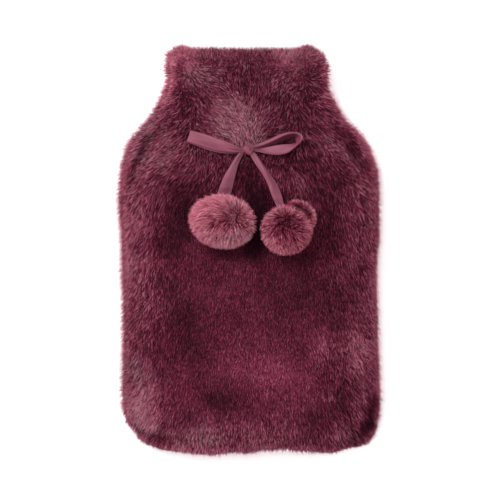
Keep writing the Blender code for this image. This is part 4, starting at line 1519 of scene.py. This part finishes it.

# %% [markdown]
# ## The ribbon
# One length of 10 mm satin ribbon makes the bow. Pulled into the knot it gathers to
# a few millimetres, and its left loop lies folded flat while the right one stands
# open. Each strand is a table of pairs of edge points, left and right of the run, with
# the height of each edge over the pile; a smooth curve joins them. Each pair also says
# where across the width a crease runs, how high it lifts the ribbon, and how much of
# the ribbon past it is darker: partly the satin's darker reverse, partly painted shade.

# %% Ribbon strands, in mm
STRAND_COLUMNS = ("ax", "ay", "az", "bx", "by", "bz", "crease", "lift", "turned")
STRANDS = {
    "loop_left": (
        (-1.5, 85.0, 3.6, -1.5, 82.8, 3.2, 0.4, 0.6, 0),
        (-6.0, 85.4, 3.2, -7.4, 82.0, 2.8, 0.4, 0.8, 0),
        (-14.0, 89.0, 2.9, -16.4, 81.7, 2.5, 0.4, 0.9, 0),
        (-25.4, 93.2, 2.8, -27.3, 83.4, 2.3, 0.4, 0.5, 0),
        (-36.4, 97.0, 2.6, -39.2, 86.9, 2.2, 0.6, 0.3, 0),
        (-46.9, 100.0, 2.5, -50.1, 90.4, 2.2, 0.5, 0.2, 0),
        (-48.1, 100.2, 1.5, -51.3, 90.6, 1.4, 0.5, 0.1, 0),
        (-46.9, 99.7, 0.5, -50.4, 89.9, 0.4, 0.5, 0.1, 0),
        (-36.4, 95.9, 0.2, -39.6, 85.7, 0.1, 0.5, 0.1, 0),
        (-25.8, 92.2, 0.1, -27.9, 82.0, 0.1, 0.5, 0.1, 0),
        (-15.0, 88.0, 0.3, -17.0, 80.6, 0.3, 0.5, 0.1, 0),
        (-7.4, 85.0, 0.9, -8.6, 81.2, 0.8, 0.5, 0.1, 0),
        (-1.5, 84.4, 1.4, -1.5, 82.6, 1.3, 0.5, 0.1, 0),
    ),
    "loop_right": (
        (-0.5, 86.8, 3.6, 0.5, 84.2, 2.8, 0.6, 0.3, 0.3),
        (4.0, 87.6, 3.4, 6.0, 84.4, 2.2, 0.5, 1.0, 0.8),
        (11.0, 89.8, 3.2, 12.6, 85.5, 1.2, 0.5, 2.2, 1),
        (19.2, 93.4, 3.4, 20.6, 88.1, 0.6, 0.45, 3.4, 1),
        (26.4, 96.6, 3.8, 27.8, 91.3, 0.3, 0.4, 4.0, 1),
        (33.2, 98.5, 4.4, 34.0, 94.2, 0.2, 0.35, 4.0, 1),
        (39.4, 98.6, 5.0, 38.8, 95.2, 0.2, 0.3, 3.2, 0.9),
        (44.4, 96.9, 6.0, 40.0, 93.6, 0.3, 0.3, 1.6, 0.4),
        (46.0, 93.8, 6.2, 40.0, 91.4, 0.4, 0.25, 1.4, 0.2),
        (43.8, 90.2, 5.2, 40.0, 89.5, 0.5, 0.25, 1.2, 0.1),
        (39.8, 86.6, 3.4, 37.0, 88.8, 0.6, 0.2, 1.0, 0),
        (33.4, 81.3, 2.4, 30.4, 88.5, 0.6, 0.2, 1.0, 0),
        (25.0, 79.5, 2.0, 22.6, 87.5, 0.7, 0.2, 1.0, 0),
        (16.6, 80.2, 1.8, 15.4, 86.1, 0.9, 0.25, 1.0, 0),
        (9.4, 82.1, 2.0, 9.2, 84.9, 1.4, 0.3, 0.6, 0),
        (4.4, 82.9, 2.2, 4.6, 84.2, 1.9, 0.4, 0.3, 0.2),
        (-0.5, 83.2, 2.2, -0.5, 84.2, 2.0, 0.5, 0.1, 0.4),
    ),
    "tail_left": (
        (-4.4, 84.4, 2.2, -1.6, 83.0, 2.0, 0.4, 0.4, 0.6),
        (-6.6, 82.6, 1.6, -3.8, 80.8, 1.2, 0.35, 0.8, 0.6),
        (-10.0, 78.4, 0.8, -6.0, 76.6, 0.3, 0.3, 0.9, 0.6),
        (-13.8, 72.4, 0.4, -8.4, 71.2, 0.2, 0.3, 0.7, 0.5),
        (-17.2, 67.0, 0.2, -9.9, 65.2, 0.2, 0.35, 0.4, 0.4),
        (-20.5, 61.2, 0.1, -11.2, 60.2, 0.2, 0.35, 0.2, 0.35),
        (-24.1, 52.6, 0.4, -12.9, 52.6, 0.5, 0.35, 0.2, 0.35),
        (-26.2, 46.4, 1.4, -14.4, 46.4, 1.5, 0.35, 0.3, 0.35),
        (-27.0, 41.4, 3.2, -15.6, 41.0, 3.4, 0.35, 0.3, 0.35),
    ),
    "tail_right": (
        (-1.6, 83.4, 2.2, 2.6, 84.0, 2.4, 0.5, 0.3, 0.2),
        (1.0, 80.8, 1.4, 5.6, 81.4, 1.4, 0.75, 0.5, 0.3),
        (3.0, 76.8, 0.5, 8.8, 77.3, 0.8, 0.86, 1.0, 0.4),
        (6.6, 71.0, 0.2, 13.0, 71.4, 0.4, 0.72, 1.6, 0.5),
        (9.6, 66.6, 0.2, 16.4, 66.8, 0.3, 0.62, 1.8, 0.5),
        (12.4, 62.2, 0.3, 19.2, 62.4, 0.3, 0.48, 1.5, 0.45),
        (16.4, 54.8, 0.6, 24.0, 55.4, 0.5, 0.36, 0.9, 0.35),
        (19.3, 46.4, 2.2, 27.6, 47.0, 2.0, 0.3, 0.5, 0.25),
        (22.4, 39.0, 5.0, 29.6, 40.0, 5.0, 0.4, 0.3, 0.2),
        (25.0, 34.0, 8.5, 31.0, 35.0, 8.5, 0.5, 0.2, 0.2),
    ),
}
print("pairs of edge points:", {name: len(rows) for name, rows in STRANDS.items()})

# %% [markdown]
# The ribbon rests on the tips of the pile, so each row of points is lifted by the
# height of the cover below it. Near the knot it is gathered into small pleats along
# its run. Their dips get painted shade, and the turned stretches are darker: partly
# the satin's reverse, partly painted shade.

# %% Rows of points along a strand
RIBBON_WIDTH, RIBBON_THICK = 10.2, 0.35
RIBBON_LIFT = 1.0          # the ribbon rests on the tips of the pile
STEPS_ALONG, STEPS_ACROSS = 8, 14
CREASE_SOFTNESS = 0.06     # share of the width over which a crease turns
TURN_EDGE = 0.05           # and over which the reverse starts to show
PLEATS, PLEAT_RISE, PLEAT_REACH = 2.5, 0.55, (4.0, 22.0)    # folds gathered by the knot, mm
PLEAT_START, PLEAT_SHADE = 0.8, 0.9      # where the first fold begins, and the dips' shade
PLEATED = {"loop_left": 1.0, "loop_right": 0.7, "tail_left": 0.35, "tail_right": 0.3}


def tent(share, crease):
    """1 at the crease, 0 at both edges, with a softened ridge."""
    slope = share / crease if share < crease else (1 - share) / (1 - crease)
    return math.tanh(slope) / math.tanh(1) if slope < 1 else 1


def strand_grid(rows, pleated):
    """Rows of points in mm, the length run at each row, and at each point how dark it is: the satin's
    reverse and painted shade.
    """
    half = STEPS_ACROSS // 2
    grid, runs, turns = [], [0.0], []
    for step in range((len(rows) - 1) * STEPS_ALONG + 1):
        place = step / STEPS_ALONG
        a, b = (Vector([along(rows, edge + axis, place) for axis in "xyz"]) for edge in "ab")
        crease, lift = along(rows, "crease", place), along(rows, "lift", place)
        ground = RIBBON_LIFT + max(pile_height(p.x, p.y) for p in (a, b, (a + b) / 2))
        for edge in (a, b):
            edge.z += ground
        row, turn = [], []
        from_knot = math.hypot((a.x + b.x) / 2 - KNOT_PLACE[0], (a.y + b.y) / 2 - KNOT_PLACE[1])
        gathered = pleated * (1 - smooth_step(*PLEAT_REACH, from_knot))
        for k in range(STEPS_ACROSS + 1):
            share = k / STEPS_ACROSS
            pleat = gathered * math.sin(2 * math.pi * PLEATS * share + PLEAT_START)
            reverse = along(rows, "turned", place) * smooth_step(-TURN_EDGE, TURN_EDGE, share - crease)
            turn.append(min(reverse + PLEAT_SHADE * max(-pleat, 0), 1))
            up = sum(tent(min(max(share + shift * CREASE_SOFTNESS, 0), 1), crease)
                     for shift in (-1, -0.5, 0, 0.5, 1)) / 5
            row.append(a.lerp(b, share) + Vector((0, 0, lift * up + PLEAT_RISE * pleat)))
        if grid:
            runs.append(runs[-1] + (row[half] - grid[-1][half]).length)
        grid.append(row)
        turns.append(turn)
    return grid, runs, turns


# %% [markdown]
# A strand is closed and thin: its two faces lie half the ribbon's thickness to either
# side of the rows. A map gives each point its place on the cut strip, in metres, so
# that the weave follows the ribbon through its bends.

# %% A strand as a closed sheet
def row_normals(grid):
    """The way out of the ribbon at each point, from its neighbours."""
    normals = []
    for r, row in enumerate(grid):
        before, after = grid[max(r - 1, 0)], grid[min(r + 1, len(grid) - 1)]
        line = []
        for k in range(len(row)):
            run = after[k] - before[k]
            side = row[min(k + 1, len(row) - 1)] - row[max(k - 1, 0)]
            line.append(run.cross(side).normalized())
        normals.append(line)
    return normals


def ribbon_piece(name, grid, runs, turns):
    """Closed thin strip through the grid, with a cloth map in metres."""
    shape = bmesh.new()
    cloth = shape.loops.layers.uv.new("weave")
    reverse = shape.verts.layers.float.new("reverse")
    normals = row_normals(grid)
    sides = []
    for sign in (1, -1):
        sides.append(vertex_rows(shape, [
            [(point + normal * sign * RIBBON_THICK / 2) * MM for point, normal in zip(row, line)]
            for row, line in zip(grid, normals)]))
    spots = {}
    for side in sides:
        for r, row in enumerate(side):
            for c, vert in enumerate(row):
                spots[vert] = (c / (len(row) - 1) * RIBBON_WIDTH * MM, runs[r] * MM)
                vert[reverse] = turns[r][c]
    close_sheet(shape, *sides)
    for face in shape.faces:
        for loop in face.loops:
            loop[cloth].uv = spots[loop.vert]
    mesh = mesh_of(shape, name)
    mesh.shade_smooth()
    mesh.materials.append(SATIN)
    return placed(name, mesh)


# %% [markdown]
# ## Satin
# Satin's warp threads float on the surface, so it is smooth along the ribbon, with
# fine ribs across it where the weft passes under, and a firmer woven edge. Its shine
# is soft and broad.

# %% Satin material
RIB_SPACING = 0.45         # mm
SELVAGE = (0.7, 0.1)       # mm from the edge where the firmer weave starts and is full
WEAVE_CLOUDS = (160, 45)   # per metre, across and along
SATIN_SHEEN_DARK, SATIN_SHEEN_PALE = (106, 42, 62), (138, 69, 90)
SATIN_EDGE, SATIN_REVERSE_AND_SHADE = (96, 30, 50), (78, 28, 44)
SATIN_ROUGH, SATIN_UNEVEN = 0.40, 0.16


def satin_material():
    material, tree, shader = principled("rose_satin", {
        "Roughness": 0.46, "Specular IOR Level": 0.35, "Sheen Weight": 0.12,
        "Sheen Roughness": 0.35, "Sheen Tint": linear((240, 190, 205)), "Anisotropic": 0.4})
    across, run, _ = tree.parted(tree.add("ShaderNodeUVMap", {"uv_map": "weave"}).out("UV"))
    ribs = tree.maths("SINE", run * (2 * math.pi / (RIB_SPACING * MM)))
    middle = RIBBON_WIDTH * MM / 2
    edge = tree.eased(tree.maths("ABSOLUTE", across - middle),
                      *(middle - from_edge * MM for from_edge in SELVAGE))
    cloth = tree.combined(across * WEAVE_CLOUDS[0], run * WEAVE_CLOUDS[1])
    uneven = tree.eased(tree.cloudy(cloth, 1, 3), 0.3, 0.7, "LINEAR")
    reverse = tree.add("ShaderNodeAttribute", {"attribute_name": "reverse"}).out("Fac")
    # The tone wanders between these two colours along the ribbon: painted sheen.
    colour = tree.mix("RGBA", uneven, linear(SATIN_SHEEN_DARK), linear(SATIN_SHEEN_PALE))
    colour = tree.mix("RGBA", edge * 0.5, colour, linear(SATIN_EDGE))
    # The darker colour is the satin's reverse and painted shade in dips, pleats and the knot's ends.
    colour = tree.mix("RGBA", reverse, colour, linear(SATIN_REVERSE_AND_SHADE))
    tree.feed(shader.inputs["Base Color"], colour)
    tree.feed(shader.inputs["Roughness"], SATIN_ROUGH + uneven * SATIN_UNEVEN)
    tree.feed(shader.inputs["Normal"], tree.bump(ribs * 0.5 + uneven + edge * 1.5, 0.35, 0.12 * MM))
    return material


SATIN = satin_material()
ribbon_pieces = {}
for name, rows in STRANDS.items():
    grid, runs, turns = strand_grid(named_rows(STRAND_COLUMNS, rows), PLEATED[name])
    ribbon_pieces[name] = ribbon_piece(name, grid, runs, turns)
    print(name, "is", round(runs[-1], 1), "mm long")

# %% [markdown]
# ## The knot
# The knot is the same ribbon wrapped once round the middle and pulled tight: a smooth
# band bent over a lump, with soft creases along its run. The dips of its creases and
# its pinched ends get painted shade.

# %% Knot
KNOT_SPAN, KNOT_TALL = (11.0, 7.4), 4.6    # mm
KNOT_LIFT = 0.6            # mm over the pile
KNOT_TURN = -6.0
KNOT_WRAP = 0.985          # of a full turn
KNOT_STEPS, KNOT_ACROSS = 56, 24
KNOT_PINCH, PINCH_POWER = 0.38, 2.4      # how much thinner its ends are, and how suddenly
KNOT_CREASE = 0.14
KNOT_SWAY = 0.06           # its ends swing from side to side by this share of the span
# Painted shade in the dips of the knot's creases.
KNOT_DIP_SHADE = 0.8
KNOT_END_SHADE = 0.9       # painted shade at the band's pinched ends
KNOT_END_START = 0.6


def knot_crease(across, around):
    """Height of the creases at a place across the band, -1 to 1, and an angle round it."""
    broad = math.sin(4.6 * across + 1.4 * math.sin(1.5 * around) + 0.9)
    return broad + 0.35 * math.sin(11 * across - 2.4 * math.cos(around))


def knot_grid():
    """A band round the lump: rows go round it, points run across the band."""
    ground = pile_height(*KNOT_PLACE) + KNOT_LIFT
    half = KNOT_ACROSS // 2
    grid, runs, turns = [], [0.0], []
    for step in range(KNOT_STEPS + 1):
        a = 2 * math.pi * (step / KNOT_STEPS) * KNOT_WRAP - math.pi / 2
        row, turn_row = [], []
        for k in range(KNOT_ACROSS + 1):
            s = k / half - 1
            crease = knot_crease(s, a)
            end = KNOT_END_SHADE * smooth_step(KNOT_END_START, 1, abs(s))
            turn_row.append(min(KNOT_DIP_SHADE * max(-crease, 0) + end, 1))
            radius = 1 - KNOT_PINCH * abs(s) ** PINCH_POWER + KNOT_CREASE * crease
            x = s * KNOT_SPAN[0] / 2 * (1 - KNOT_SWAY * math.sin(a * 2 + s))
            y = math.cos(a) * KNOT_SPAN[1] / 2 * radius
            z = KNOT_TALL / 2 + math.sin(a) * KNOT_TALL / 2 * radius
            row.append(Vector((*rotated(x, y, math.radians(KNOT_TURN), KNOT_PLACE), ground + z)))
        if grid:
            runs.append(runs[-1] + (row[half] - grid[-1][half]).length)
        grid.append(row)
        turns.append(turn_row)
    return grid, runs, turns


knot_rows = knot_grid()
ribbon_pieces["knot"] = ribbon_piece("knot", *knot_rows)
print("once round the knot in mm:", round(knot_rows[1][-1], 1))

# %% [markdown]
# ## Tying the pieces to the frame
# Every piece rides on the part's one body, and the CAD solid that it stands for is hidden.

# %% Ride and replace
def settle(piece, node):
    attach(piece, "root")
    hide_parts(node)


for piece in (front_cloth, *front_pile_pieces, lip_pieces[0]):
    settle(piece, "front_panel")
for piece in (back_cloth, back_pile_piece, lip_pieces[1]):
    settle(piece, "back_panel")
for piece in ribbon_pieces.values():
    settle(piece, "ribbon_bow")
for name in POMPOMS:
    settle(pompom_coats[name], name)
    settle(pompom_cores[name], name)

# %% [markdown]
# ## Studio
# A plain white floor and soft light: a large lamp above the top left, a weaker one
# opposite, and a pale world that fills the shadows.

# %% Floor and lights
FLOOR_HALF = 3             # m
FLOOR_CORNERS = [(x * FLOOR_HALF, y * FLOOR_HALF, 0) for x, y in ((-1, -1), (1, -1), (1, 1), (-1, 1))]
floor_mesh = bpy.data.meshes.new("floor")
floor_mesh.from_pydata(FLOOR_CORNERS, [], [(0, 1, 2, 3)])
floor = placed("floor", floor_mesh)
floor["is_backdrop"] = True
paper, _, _ = principled("white_paper", {
    "Base Color": (0.9, 0.9, 0.9, 1), "Roughness": 0.9, "Specular IOR Level": 0.1,
    "Emission Color": (1, 1, 1, 1), "Emission Strength": 0.4})
floor_mesh.materials.append(paper)


def lamp(name, place, size, power):
    """A square lamp that faces the cover; place and size in m, power in W."""
    data = bpy.data.lights.new(name, "AREA")
    data.size = size
    data.energy = power
    thing = placed(name, data)
    thing.location = place
    thing.rotation_euler = (-Vector(place)).to_track_quat("-Z", "Y").to_euler()


lamp("key", (-0.9, 1.0, 1.5), 1.0, 34)
lamp("fill", (1.2, -0.5, 1.4), 1.2, 8)
world = bpy.data.worlds.new("studio")
world.use_nodes = True
background = world.node_tree.nodes["Background"]
background.inputs["Color"].default_value = (1, 1, 1, 1)
background.inputs["Strength"].default_value = 0.75
bpy.context.scene.world = world
bpy.context.scene.view_settings.view_transform = "Standard"

# %% [markdown]
# ## Sizes
# The tuft was only a pattern for the Geometry Nodes, so it goes. The triangles of all the pieces are
# counted.

# %% Sizes
bpy.data.objects.remove(tuft)
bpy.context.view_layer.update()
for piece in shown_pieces():
    piece.data.calc_loop_triangles()
counts = [len(piece.data.loop_triangles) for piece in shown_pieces()]
print("triangles in all:", sum(counts), "and in the largest piece:", max(counts))
